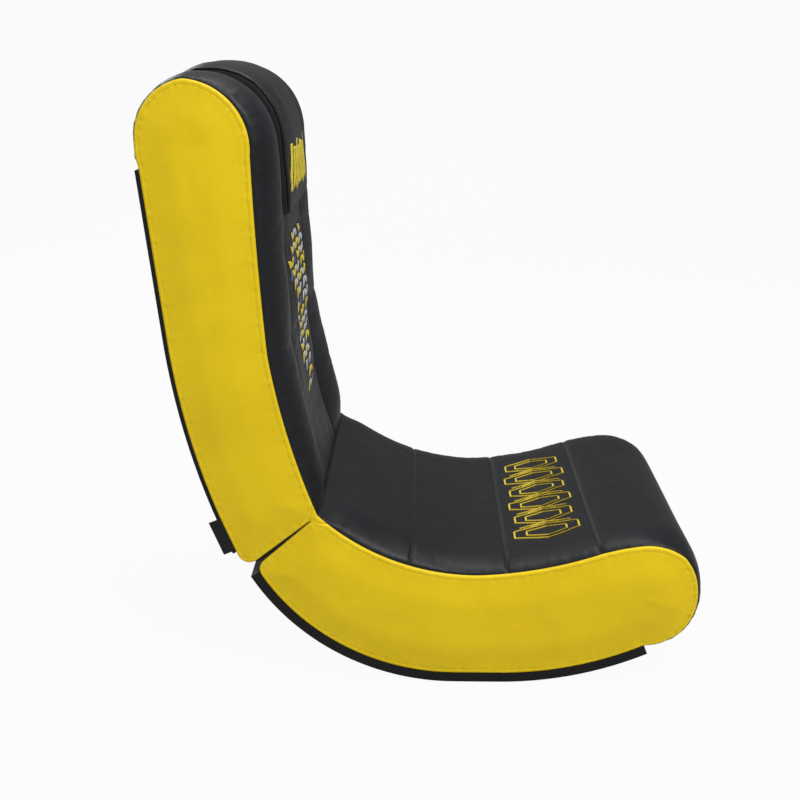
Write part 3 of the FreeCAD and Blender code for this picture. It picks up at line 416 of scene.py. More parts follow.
def clothWrinkles(name, top, held, share):
    # The covering as cloth, cut a little too large, held at its seams and blown up from
    # below. Returns a share of what the cloth adds to the smooth form: its small folds.
    rows, columns = top.shape[:2]
    cover = newObject(name + "Cloth", top.reshape(-1, 3), gridFaces(rows, columns), None)
    seams = cover.vertex_groups.new(name="seams")
    seams.add([int(at) for at in np.flatnonzero(held.reshape(-1))], 1.0, "REPLACE")
    cloth = cover.modifiers.new("Cloth", "CLOTH")
    cloth.collision_settings.use_collision = False
    cloth.collision_settings.use_self_collision = False
    cloth.point_cache.frame_end = clothValues["frames"]
    settings = cloth.settings
    settings.quality = 5
    settings.mass = clothValues["mass"]
    settings.tension_stiffness = settings.compression_stiffness = clothValues["stretch"]
    settings.shear_stiffness = clothValues["shear"]
    settings.bending_stiffness = clothValues["bending"]
    settings.use_pressure = True
    settings.uniform_pressure_force = clothValues["pressure"]
    settings.shrink_min = -clothValues["slack"]
    settings.vertex_group_mass = "seams"
    settings.effector_weights.gravity = 0
    for number in range(1, clothValues["frames"] + 1):
        scene.frame_set(number)
    result = cover.evaluated_get(bpy.context.evaluated_depsgraph_get()).to_mesh()
    moved = np.empty(len(result.vertices) * 3)
    result.vertices.foreach_get("co", moved)
    added = moved.reshape(top.shape) / mm - top
    bpy.data.objects.remove(cover)
    scene.frame_set(1)
    far = np.linalg.norm(added, axis=2, keepdims=True)
    added *= np.minimum(1, clothValues["cap"] / np.maximum(far, 1e-6))
    folds = added - blurred(added, clothValues["foldSize"])
    print(name, "cloth moved %.1f mm, folds %.1f mm" % (far.max(), np.abs(folds).max()))
    return folds * share * (1 - held[..., None])


class Covering:
    # A finished covering that seams, stitches and prints are laid on, by its own length
    # along the line and its place across.
    def __init__(self, along, across, top):
        self.along, self.across, self.top = along, across, top
        self.normals = unit(np.cross(np.gradient(top, axis=0), np.gradient(top, axis=1)))

    def place(self, along, across, lift):
        along, across = np.broadcast_arrays(along, across)
        rows = np.interp(along, self.along, np.arange(len(self.along)))
        columns = np.interp(across, self.across, np.arange(len(self.across)))
        r = np.minimum(rows.astype(int), len(self.along) - 2)
        c = np.minimum(columns.astype(int), len(self.across) - 2)
        u, v = (rows - r)[..., None], (columns - c)[..., None]
        result = []
        for grid in (self.top, self.normals):
            low = grid[r, c] * (1 - u) + grid[r + 1, c] * u
            high = grid[r, c + 1] * (1 - u) + grid[r + 1, c + 1] * u
            result.append(low * (1 - v) + high * v)
        return result[0] + result[1] * lift


def pipingCord(name, run, radius, material):
    # A cord sewn into a seam: a ring of eight points carried along the run.
    run = np.asarray(run)
    ways = unit(np.gradient(run, axis=0))
    sideWays = unit(np.cross(ways, (0.31, 0.2, 0.93)))
    outWays = np.cross(ways, sideWays)
    turns = np.arange(8) * math.pi / 4
    around = (np.cos(turns)[:, None] * sideWays[:, None]
              + np.sin(turns)[:, None] * outWays[:, None])
    rings = run[:, None] + radius * around
    faces = [(at * 8 + turn, at * 8 + (turn + 1) % 8, at * 8 + 8 + (turn + 1) % 8,
              at * 8 + 8 + turn) for at in range(len(run) - 1) for turn in range(8)]
    last = (len(run) - 1) * 8
    faces += [tuple(range(7, -1, -1)), tuple(range(last, last + 8))]
    return newObject(name, rings.reshape(-1, 3), faces, material)


def heldRim(shape, rows, columns):
    # The points of a covering that are sewn down, as a grid of 0 and 1.
    held = np.zeros(shape)
    held[rows, :] = 1
    held[:, columns] = 1
    return held


def upholstered(name, line, along, across, heights, held, values, low=0.0):
    # A padded piece with its small folds, and its covering for what is laid on it.
    top = overLine(line, along, across, heights)
    top = top + clothWrinkles(name, top, held, values["folds"])
    base = overLine(line, along, across, low - values["depth"] + 0 * heights)
    return closedPad(name, top, base, blackLeather), Covering(along, across, top)


def gathers(at, edge, values, seed):
    # Uneven gathers beside a sewn edge.
    height, spacing, reach, start = values
    return height * ripple(at, spacing, seed) * np.exp(-edge / reach) * roll(edge, start)


def seamDip(fromSeam, puckers, values):
    # A sewn seam: its pinch and the puckers beside it.
    return (values["pucker"] * puckers * np.exp(-fromSeam / values["puckerReach"])
            - values["pinch"] * np.exp(-(fromSeam / values["pinchWidth"]) ** 1.2))


# Backrest padding: two bolsters beside a centre panel, sewn along two straight seams.
# Gathers are given by height, spacing, reach from the edge and start at the edge.
backSizes = {
    "bolsterRoll": 50.0, "crestAt": 172.0, "seamAt": 110.0, "centreRise": 46.0,
    "pinch": 2.6, "pinchWidth": 4.0, "pucker": 0.55, "puckerSpacing": 17.0, "puckerReach": 9,
    "gathers": (0.7, 13.0, 12, 4), "swell": 0.7, "swellSpacing": 120.0, "swellRoll": 60,
    "depth": 10.0, "step": 4.0, "folds": 0.3,
}
# Height of the bolster's crest, of the seam's groove and of the centre by height above the
# floor on the face, and by length along the line over the head.
faceZ = [(614, 27.5, 19.5, 23), (560, 26.5, 20, 24), (475, 25.5, 20, 24), (428, 25, 14, 19),
         (393, 25, 11, 16), (370, 24.5, 8, 12.5), (339, 24, 4, 8), (300, 22, 2.5, 5),
         (275, 18, 2, 4), (258, 12, 1.5, 2.5)]
backKeys = [(0, 3, 2.5, 3), (headRear, 4, 3, 4), (headTop - 30, 5, 3, 4), (headTop, 7, 3, 4.5),
            (headTop + 45, 15, 6, 10), (headTop + 85, 23, 12, 17), (faceTop, 27, 16, 21),
            (faceTop + 40, 28, 19, 23)]
backKeys += [(backLine.lengthAtZ(z, faceTop), *heights) for z, *heights in faceZ]
backKeys += [(backEnd, 2, 0.5, 0.5)]


def backHeights(along, across):
    v = backSizes
    crest, groove, centre = [keyed(along, [(key[0], key[column]) for key in backKeys])[:, None]
                             for column in (1, 2, 3)]
    far = np.abs(across)[None, :]
    share = np.clip((v["crestAt"] - far) / (v["crestAt"] - v["seamAt"]), 0, 1)
    fall = 1 - np.cos(math.pi / 2 * share)
    edge = chair["padHalfWidth"] - far
    bolster = (crest + (groove - crest) * fall) * roll(edge, v["bolsterRoll"])
    middle = groove + (centre - groove) * roll(v["seamAt"] - far, v["centreRise"])
    height = np.where(far > v["seamAt"], bolster, middle)
    fromSeam = np.abs(far - v["seamAt"])
    height += seamDip(fromSeam, ripple(along, v["puckerSpacing"], 4)[:, None], v)
    height += gathers(along[:, None], edge, v["gathers"], 9)
    height += v["swell"] * ripple(along[:, None] + 0.5 * far, v["swellSpacing"], 12) \
        * roll(edge, v["swellRoll"])
    return height


alongBack = np.unique(np.append(np.arange(0, backEnd, backSizes["step"]), backEnd))
acrossBack = stationsAcross(chair["padHalfWidth"], backSizes["step"], [backSizes["seamAt"]])
heights = backHeights(alongBack, acrossBack)
held = heldRim(heights.shape, [0, -1], [0, 1, -2, -1])
held[:, np.abs(np.abs(acrossBack) - backSizes["seamAt"]) < 1] = 1
backPad, backCover = upholstered(
    "backrestPad", backLine, alongBack, acrossBack, heights, held, backSizes)
print("backrest padding ready")


# Seat padding: four panels across, sewn together, the last one round the nose
seatSizes = {"roll": 55.0, "pinch": 2.4, "pinchWidth": 2.0, "pucker": 0.35,
             "puckerSpacing": 19.0, "puckerReach": 8, "gathers": (0.5, 15.0, 12, 4),
             "panelSwell": 1.0, "panelRoll": 70, "swell": 0.8, "swellSpacing": 130.0,
             "swellRoll": 60, "depth": 10.0, "step": 4.0, "folds": 0.14,
             "seams": (-27.0, 105.0, 227.0)}
seatEnd = seatLine.knots[-1]
seatSeams = [seatLine.lengthAtX(x) for x in seatSizes["seams"]]
seatKeys = [(0, 1), (9, 8), (22, 15), (42, 19.5), (70, 21.5)]
seatKeys += [(seatLine.lengthAtX(x), height) for x, height in (
    (-70, 21), (-26, 20), (0, 18.8), (51, 16.5), (97, 14), (145, 13), (213, 13.5), (248, 12),
    (279, 10.5), (303, 8), (325, 5.5))]
seatKeys += [(seatLine.knots[5], 3.5), (seatLine.knots[6], 2), (seatEnd, 0.5)]


def seatHeights(along, across):
    v = seatSizes
    edge = chair["padHalfWidth"] - np.abs(across)[None, :]
    height = keyed(along, seatKeys)[:, None] * roll(edge, v["roll"])
    bounds = [0] + seatSeams + [seatEnd]
    share = np.interp(along, bounds, range(len(bounds))) % 1
    height = height + v["panelSwell"] * (np.sin(math.pi * share) ** 0.5)[:, None] \
        * roll(edge, v["panelRoll"])
    for number, seam in enumerate(seatSeams):
        puckers = ripple(across, v["puckerSpacing"], 20 + number)[None, :]
        height = height + seamDip(np.abs(along - seam)[:, None], puckers, v)
    height = height + gathers(along[:, None], edge, v["gathers"], 31)
    bulges = ripple(along[:, None] + 0.3 * across[None, :], v["swellSpacing"], 33)
    return height + v["swell"] * bulges * roll(edge, v["swellRoll"])


seamRows = np.concatenate([seam + np.array([-3, -1.5, -0.5, 0.5, 1.5, 3]) for seam in seatSeams])
alongSeat = np.unique([*np.arange(0, seatEnd, seatSizes["step"]), *seamRows, seatEnd])
alongSeat = alongSeat[np.concatenate([[True], np.diff(alongSeat) > 0.4])]
acrossSeat = stationsAcross(chair["padHalfWidth"], seatSizes["step"], [])
heights = seatHeights(alongSeat, acrossSeat)
held = heldRim(heights.shape, [0, -1], [0, 1, -2, -1])
for seam in seatSeams:
    held[np.abs(alongSeat - seam) < 1, :] = 1
seatPad, seatCover = upholstered(
    "seatPad", seatLine, alongSeat, acrossSeat, heights, held, seatSizes)
print("seat padding ready")


# Headrest pillow: a boxed pad from the rear panel over the head down the face
headrest = {"halfWidth": 108.0, "lowZ": 616.0, "edgeRound": 4.0, "crown": 5.0,
            "crownWidth": 60, "crownLength": 120, "sink": 6.0, "depth": 7.0,
            "gathers": (0.45, 16.0, 10, 3), "step": 4.0, "folds": 0.3, "piping": 1.6,
            "pipingIn": 2.2, "pipingCorner": 8, "pipingStep": 3.0, "pipingLift": 0.2}
pillowEnd = backLine.lengthAtZ(headrest["lowZ"], faceTop)
pillowKeys = [(0, 5), (headRear, 5.5), (headTop - 30, 6), (headTop, 8), (headTop + 22, 13),
              (headTop + 42, 20), (headTop + 64, 25), (faceTop - 10, 29.5), (faceTop + 20, 31),
              (pillowEnd - 28, 33), (pillowEnd, 31)]


def grooveHeights(along):
    return keyed(along, [(key[0], key[2]) for key in backKeys])[:, None]


def pillowHeights(along, across):
    v = headrest
    edge = np.minimum(v["halfWidth"] - np.abs(across)[None, :], pillowEnd - along[:, None])
    low = grooveHeights(along) - v["sink"]
    high = keyed(along, pillowKeys)[:, None]
    height = low + (high - low) * roll(edge, v["edgeRound"])
    height = height + v["crown"] * smooth(edge / v["crownWidth"]) \
        * smooth(along / v["crownLength"])[:, None]
    return height + gathers(along[:, None] + across[None, :], edge, v["gathers"], 41)


acrossPillow = stationsAcross(headrest["halfWidth"], headrest["step"], [])
ends = pillowEnd - np.array(edgeSteps[:-1])
alongPillow = np.unique(np.append(np.arange(0, ends[-1] - 2, headrest["step"]), ends))
heights = pillowHeights(alongPillow, acrossPillow)
held = heldRim(heights.shape, [0, -1, -2, -3, -4], [0, 1, 2, 3, 4, -5, -4, -3, -2, -1])
pillow, pillowCover = upholstered(
    "headrestPillow", backLine, alongPillow, acrossPillow, heights, held, headrest,
    grooveHeights(alongPillow))

pipingEdge = headrest["halfWidth"] - headrest["pipingIn"]
sideAlong = np.arange(2, pillowEnd - headrest["pipingCorner"], headrest["pipingStep"])
lowAcross = headrest["halfWidth"] - headrest["pipingCorner"]
lowAcross = np.arange(-lowAcross, lowAcross + 1, headrest["pipingStep"])
pipingRuns = [pillowCover.place(along, across, headrest["pipingLift"]) for along, across in (
    (sideAlong, -pipingEdge), (pillowEnd - headrest["pipingIn"], lowAcross),
    (sideAlong[::-1], pipingEdge))]
piping = pipingCord("pillowPiping", np.concatenate(pipingRuns), headrest["piping"], blackLeather)
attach(piping, "backrest")
print("headrest pillow ready")


# Yellow side panels: padded, with a rolled edge and a topstitched rim
def cornerRound(before, corner, after, radius):
    # An arc that takes the place of a corner, from the run before it to the run after.
    a, b = [unit(end - corner) for end in (before, after)]
    half = math.acos(np.clip(np.dot(a, b), -1, 1)) / 2
    reach = radius / math.tan(half)
    centre = corner + unit(a + b) * radius / math.sin(half)
    first, last = corner + a * reach, corner + b * reach
    angles = [math.atan2(*(end - centre)[::-1]) for end in (first, last)]
    sweep = (angles[1] - angles[0] + math.pi) % (2 * math.pi) - math.pi
    turns = angles[0] + sweep * np.linspace(0, 1, max(int(abs(sweep) * radius / 2), 4))
    return centre + radius * np.column_stack([np.cos(turns), np.sin(turns)])


def resampled(points, step):
    lengths = lengthsAlong(points)
    places = np.linspace(0, lengths[-1], int(lengths[-1] / step) + 1)
    return np.column_stack([np.interp(places, lengths, column) for column in points.T])


def lineCrossing(start, way, line, after=0.0):
    # Where the ray from start along way crosses the line.
    across = np.array([-way[1], way[0]])
    side = (line.points - start) @ across
    ahead = (line.points - start) @ way > 0
    for at in range(len(side) - 1):
        if ahead[at] and line.lengths[at] >= after and side[at] * side[at + 1] <= 0:
            return line.lengths[at]


panel = {"roll": 3.6, "crown": 5.5, "crownWidth": 46.0, "stitchIn": 5.6, "groove": 0.55,
         "grooveWidth": 1.3, "pucker": 0.7, "puckerSpacing": 11.0, "puckerReach": 4.5,
         "swell": 0.5, "swellSpacing": 90.0, "gap": 0.5, "cornerRound": 16.0,
         "inner": 221.1, "least": 0.3, "seed": 60, "rimStep": 3.0, "cell": (5.0, 4.33),
         "rings": (0.5, 1.3, 2.4, 3.8, 5.0, 6.2, 8.0, 10.5), "cellsFrom": 13.0}
# The seat panels end along the curved board: an arc at the rear, a flat and an arc in front.
board = {"top": 12.3, "flat": (35.0, 95.0), "rear": 315.0, "front": 470.0, "sweep": 57.8}
landStart, landEnd = [np.array([x, board["top"]]) for x in board["flat"]]
rearRadius, frontRadius = [board[key] - board["top"] for key in ("rear", "front")]
footAngle = -90 - board["sweep"]
seatFoot = landStart + (0, rearRadius) + wayOf(footAngle) * rearRadius
seatNotchAt = lineCrossing(pivot, wayOf(chair["seatNotch"]), seatLine)
backNotchAt = lineCrossing(pivot, wayOf(chair["backNotch"]), backLine, faceTop)


def seatPanelOutline():
    start = pivot - toBack * panel["gap"]
    top = seatLine.points[seatLine.lengths > seatNotchAt]
    front = arcPoints(np.array(lip), landEnd, frontRadius)
    land = arcPoints(landEnd, landStart, None)
    rear = arcPoints(landStart, seatFoot, rearRadius)
    cornerWay = wayOf(footAngle - 90)
    reach = np.linalg.solve(np.column_stack([cornerWay, -foldWay]), start - seatFoot)[0]
    bend = cornerRound(seatFoot - cornerWay * 30, seatFoot + cornerWay * reach, start,
                       panel["cornerRound"])
    return np.concatenate([top, front, land, rear[:-4], bend, [start]])


def backPanelOutline():
    start = pivot + toBack * panel["gap"]
    rear = SideLine((-254, 188), (972, (-329, 466)), (None, (-352, 690))).points
    face = backLine.points[backLine.lengths < backNotchAt]
    endWay = -wayOf(chair["foldAngle"] - chair["foldOpening"])
    rearWay = unit(rear[0] - rear[12])
    reach = np.linalg.solve(np.column_stack([rearWay, -endWay]), start - rear[0])[0]
    bend = cornerRound(start, rear[0] + rearWay * reach, rear[12], panel["cornerRound"])
    return np.concatenate([[start], bend, rear[(rear - bend[-1])[:, 1] > 1.0], face])


def nearestOn(points, outline):
    # Distance of each point from a closed outline, and the place along it.
    runs = np.roll(outline, -1, axis=0) - outline
    lengths = np.hypot(*runs.T)
    before = lengthsAlong(outline)
    distance = np.full(len(points), 1e9)
    place = np.zeros(len(points))
    for at, start in enumerate(outline):
        share = np.clip(((points - start) @ runs[at]) / max(lengths[at] ** 2, 1e-9), 0, 1)
        apart = np.hypot(*(points - start - share[:, None] * runs[at]).T)
        closer = apart < distance
        distance[closer] = apart[closer]
        place[closer] = (before[at] + share * lengths[at])[closer]
    return distance, place


def panelHeight(distance, place, seed):
    v = panel
    height = v["roll"] * roll(distance, v["roll"])
    height += v["crown"] * smooth((distance - 2) / v["crownWidth"])
    puckers = ripple(place, v["puckerSpacing"], seed)
    fromStitch = np.abs(distance - v["stitchIn"])
    height -= v["groove"] * np.exp(-(fromStitch / v["grooveWidth"]) ** 2)
    height += v["pucker"] * puckers * np.exp(-fromStitch / v["puckerReach"]) \
        * smooth(distance / 2.0)
    height += v["swell"] * ripple(place, v["swellSpacing"], seed + 1) * smooth(distance / 30)
    return height


def insideOf(points, outline):
    # Even-odd test of points against a closed outline.
    inside = np.zeros(len(points), bool)
    for start, end in zip(outline, np.roll(outline, -1, axis=0)):
        crosses = (start[1] > points[:, 1]) != (end[1] > points[:, 1])
        if crosses.any():
            cut = start[0] + (points[:, 1] - start[1]) / (end[1] - start[1] + 1e-12) \
                * (end[0] - start[0])
            inside ^= crosses & (points[:, 0] < cut)
    return inside


def rimOf(outline):
    # A panel's rim as points the same step apart, and the inward way at each.
    rim = resampled(np.concatenate([outline, outline[:1]]), panel["rimStep"])[:-1]
    ways = np.roll(rim, -1, axis=0) - np.roll(rim, 1, axis=0)
    inward = unit(np.column_stack([ways[:, 1], -ways[:, 0]]))
    if not insideOf(rim[:1] + inward[:1] * 0.5, rim)[0]:
        inward = -inward
    return rim, inward


def sidePanel(name, outline, side, seed, inner):
    # Rings of points inside the rim and a field of cells within them, joined by triangles.
    rim, inward = rimOf(outline)
    kept = [rim]
    for depth in panel["rings"]:
        ring = rim + inward * depth
        kept.append(ring[insideOf(ring, rim) & (nearestOn(ring, rim)[0] > depth * 0.93)])
    (wide, tall), low, high = panel["cell"], rim.min(axis=0), rim.max(axis=0)
    columns = np.arange(low[0], high[0], wide)
    field = np.array([(x + wide / 2 * (row % 2), z)
                      for row, z in enumerate(np.arange(low[1], high[1], tall)) for x in columns])
    field = field[insideOf(field, rim)]
    points = np.concatenate(kept + [field[nearestOn(field, rim)[0] > panel["cellsFrom"]]])
    edges = [(at, (at + 1) % len(rim)) for at in range(len(rim))]
    flat, _, triangles, *_ = delaunay_2d_cdt([Vector(p) for p in points], edges, [], 1, 1e-4)
    flat = np.array([tuple(p) for p in flat])
    height = panelHeight(*nearestOn(flat, rim), seed)
    count = len(flat)
    outer = np.insert(flat, 1, side * (inner + panel["least"] + height), axis=1)
    backing = np.insert(flat, 1, side * inner, axis=1)
    turned = [tuple(face) if side < 0 else tuple(face)[::-1] for face in triangles]
    faces = turned + [tuple(at + count for at in face[::-1]) for face in turned]
    uses = [pair for face in turned for pair in zip(face, face[1:] + face[:1])]
    known = set(uses)
    faces += [(end, start, start + count, end + count) for start, end in uses
              if (end, start) not in known]
    return newObject(name, np.concatenate([outer, backing]), faces, yellowLeather)


seatOutline = seatPanelOutline()
backOutline = backPanelOutline()
halves = (("seat", "seat", seatOutline), ("back", "backrest", backOutline))
sides = (("Left", 1), ("Right", -1))
panels = [(sideName, side, panel["seed"] + 7 * number, *half)
          for number, (sideName, side) in enumerate(sides) for half in halves]
sidePanels = [sidePanel(half + "Panel" + sideName, outline, side, seed, panel["inner"])
              for sideName, side, seed, half, _, outline in panels]

# Gusset that closes the notch of the two panels at the crease
gusset = {"overlap": 2.5, "inner": 220.2, "root": 5.0, "rootShare": 0.15, "seed": 80}
seatRun = seatLine.points[seatLine.lengths < seatNotchAt + gusset["overlap"]]
backRun = backLine.points[backLine.lengths > backNotchAt - gusset["overlap"]]
root = pivot + foldWay * gusset["root"]
rootFront = root + (seatRun[-1] - pivot) * gusset["rootShare"]
gussetOutline = np.concatenate([backRun, seatRun[1:], [rootFront, root]])
gussets = [sidePanel("creaseGusset" + sideName, gussetOutline, side, gusset["seed"],
                     gusset["inner"]) for sideName, side in sides]
print("side panels ready")


# Rides and what each piece stands for
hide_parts("bolster_cover_left", "bolster_cover_right", "back_centre_cover",
            "back_foam")
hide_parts("seat_cover_rear", "seat_cover_middle", "seat_cover_front",
            "seat_cover_nose", "seat_foam")
black, yellow = ("black_leather", 0.85), ("yellow_leather", 0.8)
for piece, (slot, fill) in ((backPad, black), (seatPad, black), (gussets[0], yellow),
                            (gussets[1], yellow)):
    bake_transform(piece)
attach(pillow, "backrest")
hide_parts("headrest_pillow")
for piece, (sideName, _, _, half, body, _) in zip(sidePanels, panels):
    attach(piece, body)
    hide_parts("%s_side_cover_%s" % (half, sideName.lower()))


# CAD nodes that stay, with their real finishes
nodeFinishes = (
    (boardCloth, "rocker_board rear_panel"),
    # The fold shows the ends of the cheeks and of its two rails, wrapped in the lining.
    (backingCloth, "seat_end_cover back_end_cover seat_cheek_left seat_cheek_right"
                   " back_cheek_left back_cheek_right back_foot_rail seat_rear_rail"),
    (satinRibbon, "seam_tag"),
    (webbing, "back_straps"),
    (screwSteel, "rocker_board_screws hinge_screws_seat hinge_screws_back seat_frame_screws"
                 " back_frame_screws hinge_pin_left hinge_pin_right"),
    (hingeSteel, "seat_front_rail seat_middle_rail hinge_leaf_seat_left"
                 " hinge_leaf_seat_right hinge_leaf_back_left hinge_leaf_back_right"),
    (pine, "seat_deck back_waist_rail back_head_rail"),
)
for material, names in nodeFinishes:
    for name in names.split():
        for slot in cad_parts[name].material_slots:
            slot.material = material
edgeBreaks = {"rocker_board": 1.5, "rear_panel": 1.2}
for name, width in edgeBreaks.items():
    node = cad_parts[name]
    node.modifiers.new("Weld", "WELD").merge_threshold = 1e-5
    bevel = node.modifiers.new("Bevel", "BEVEL")
    bevel.width = width * mm
    bevel.segments = 3
    bevel.limit_method = "ANGLE"
    bevel.angle_limit = math.radians(50)
print("CAD finishes ready")


# Stitches along a line, made by Geometry Nodes
def stitchTree(name, material):
    tree = bpy.data.node_groups.new(name, "GeometryNodeTree")
    face = tree.interface
    face.new_socket("Geometry", in_out="INPUT", socket_type="NodeSocketGeometry")
    for label in ("Pitch", "Stitch length", "Thread", "Turn"):
        face.new_socket(label, in_out="INPUT", socket_type="NodeSocketFloat")
    face.new_socket("Geometry", in_out="OUTPUT", socket_type="NodeSocketGeometry")
    source = addNode(tree, "NodeGroupInput").outputs
    curve = addNode(tree, "GeometryNodeMeshToCurve", Mesh=source["Geometry"])
    even = addNode(tree, "GeometryNodeResampleCurve", {"mode": "LENGTH"}, Curve=curve,
                   Length=source["Pitch"])
    tangent = addNode(tree, "GeometryNodeInputTangent")
    aligned = addNode(tree, "FunctionNodeAlignRotationToVector", {"axis": "Z"}, Vector=tangent)
    spin = addNode(tree, "ShaderNodeCombineXYZ", Y=source["Turn"])
    turned = addNode(tree, "FunctionNodeRotateRotation", {"rotation_space": "LOCAL"},
                     Rotation=aligned, _1=spin)
    bead = addNode(tree, "GeometryNodeMeshUVSphere", Segments=6, Rings=4, Radius=0.5)
    size = addNode(tree, "ShaderNodeCombineXYZ", X=source["Thread"], Y=source["Thread"],
                   Z=source["Stitch length"])
    stitches = addNode(tree, "GeometryNodeInstanceOnPoints", Points=even, Instance=bead,
                       Rotation=turned, Scale=size)
    real = addNode(tree, "GeometryNodeRealizeInstances", Geometry=stitches)
    done = addNode(tree, "GeometryNodeSetMaterial", Geometry=real, Material=material)
    addNode(tree, "NodeGroupOutput", Geometry=done)
    return tree


def sewn(name, runs, tree, values):
    # runs are open lines of points in millimetres.
    points, edges = [], []
    for run in runs:
        edges += [(at, at + 1) for at in range(len(points), len(points) + len(run) - 1)]
        points += [tuple(p) for p in np.asarray(run) * mm]
    mesh = bpy.data.meshes.new(name + "Lines")
    mesh.from_pydata(points, edges, [])
    guide = linked(name + "Lines", mesh)
    modifier = guide.modifiers.new("Stitches", "NODES")
    modifier.node_group = tree
    for item in tree.interface.items_tree:
        if item.item_type == "SOCKET" and item.name in values:
            modifier[item.identifier] = float(values[item.name])
    evaluated = guide.evaluated_get(bpy.context.evaluated_depsgraph_get())
    result = bpy.data.meshes.new_from_object(evaluated)
    result.name = name
    bpy.data.objects.remove(guide)
    return linked(name, result)


def stitchValues(pitch, length, thread, turn=0.0):
    return {"Pitch": pitch * mm, "Stitch length": length * mm, "Thread": thread * mm,
            "Turn": turn}


topStitch = stitchValues(4.4, 3.3, 0.75)
seamStitch = stitchValues(4.2, 3.2, 0.7)
satinStitch = stitchValues(0.75, 3.2, 0.8, 1.2)
yellowStitches = stitchTree("topStitching", yellowThread)
blackStitches = stitchTree("seamStitching", blackThreadAndSeamShadow)
satinStitches = stitchTree("satinStitching", embroideryThread)


def rimRun(outline, side, distance, seed, line, axis, least):
    # Points a distance in from the panel's rim, on its outer face, where the rim follows the
    # line and is past the least place on the axis.
    rim, inward = rimOf(outline)
    onLine = np.array([np.hypot(*(line.points - p).T).min() < 0.6 for p in rim])
    run = (rim + inward * distance)[onLine & (rim[:, axis] > least)]
    run = run[nearestOn(run, rim)[0] > distance * 0.95]
    height = panelHeight(*nearestOn(run, rim), seed)
    return np.insert(run, 1, side * (panel["inner"] + panel["least"] + height + 0.1), axis=1)


for sideName, side, seed, half, body, outline in panels:
    follows = (seatLine, 0, -128) if half == "seat" else (backLine, 1, 262)
    run = rimRun(outline, side, panel["stitchIn"], seed, *follows)
    name = "topstitch" + half.title() + sideName
    stitches = sewn(name, [run], yellowStitches, topStitch)
    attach(stitches, body)

# The long seams: a row of stitches, and under it a thin cord of black thread along each seam. The
# cord is a painted shadow that draws the dark line of the seam's groove.
# seatLine and backLine are the radii of the painted seam-shadow cords.
longSeam = {"seatEnd": 214, "backEnd": 45, "lift": 0.05, "seatLine": 0.55, "backLine": 0.6}
acrossSeam = np.linspace(-longSeam["seatEnd"], longSeam["seatEnd"], 110)
alongSeam = np.linspace(pillowEnd + 3, backEnd - longSeam["backEnd"], 90)
seatRuns = [seatCover.place(seam, acrossSeam, longSeam["lift"]) for seam in seatSeams]
backRuns = [backCover.place(alongSeam, sign * backSizes["seamAt"], longSeam["lift"])
            for sign in (-1, 1)]
for half, body, labels, runs in (("seat", "seat", ("1", "2", "3"), seatRuns),
                                 ("back", "backrest", ("Right", "Left"), backRuns)):
    pieces = [sewn(half + "SeamStitches", runs, blackStitches, seamStitch)]
    # Each cord is a painted shadow: a dark line standing in for the shade in the seam's groove.
    pieces += [pipingCord(half + "Seam" + label, run, longSeam[half + "Line"], blackThreadAndSeamShadow)
               for label, run in zip(labels, runs)]
    for piece in pieces:
        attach(piece, body)
print("stitches ready")


# Prints and embroidery: plain geometric designs
film = {"step": 3.0, "thickness": 0.25, "lift": 0.3, "topLift": 0.62}


def laidFilm(name, covering, quads, material, body, lift):
    # quads hold four corners, (along, across) in millimetres; each becomes a fine grid.
    points, faces = [], []
    for quad in quads:
        a, b, c, d = [np.array(corner, float) for corner in quad]
        longest = max(np.hypot(*(b - a)), np.hypot(*(c - d)))
        widest = max(np.hypot(*(d - a)), np.hypot(*(c - b)))
        rows, columns = [int(size / film["step"]) + 2 for size in (longest, widest)]
        u, v = np.meshgrid(np.linspace(0, 1, rows), np.linspace(0, 1, columns), indexing="ij")
        u, v = u[..., None], v[..., None]
        flat = (a * (1 - u) + b * u) * (1 - v) + (d * (1 - u) + c * u) * v
        turn = np.cross(b - a, d - a)
        first = sum(len(each) for each in points)
        points.append(covering.place(flat[..., 0], flat[..., 1], lift).reshape(-1, 3))
        faces += gridFaces(rows, columns, first, flip=turn < 0)
    piece = newObject(name, np.concatenate(points), faces, material)
    thickness = piece.modifiers.new("Solidify", "SOLIDIFY")
    thickness.thickness = film["thickness"] * mm
    thickness.offset = -1
    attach(piece, body)


# Headrest: slanted bars of unequal height
bar = {"count": 11, "width": 12.5, "pitch": 17.0, "slant": 8.0, "trim": 13, "margin": 6,
       "topZ": 716, "lowZ": 634}
barTop = backLine.lengthAtZ(bar["topZ"], faceTop - 25) + bar["margin"]
barEnd = backLine.lengthAtZ(bar["lowZ"], faceTop) - bar["margin"]
bars = []
for number in range(bar["count"]):
    y = (number - (bar["count"] - 1) / 2) * bar["pitch"]
    trim = bar["trim"] * abs(math.sin(number * 1.9 + 0.4))
    top, end = barTop + trim, barEnd - trim * 0.6
    left, right = y + bar["slant"], y - bar["slant"]
    bars.append(((top, left), (end, right), (end, right + bar["width"]),
                 (top, left + bar["width"])))
laidFilm("headrestPrint", pillowCover, bars, printYellow, "backrest", film["lift"])

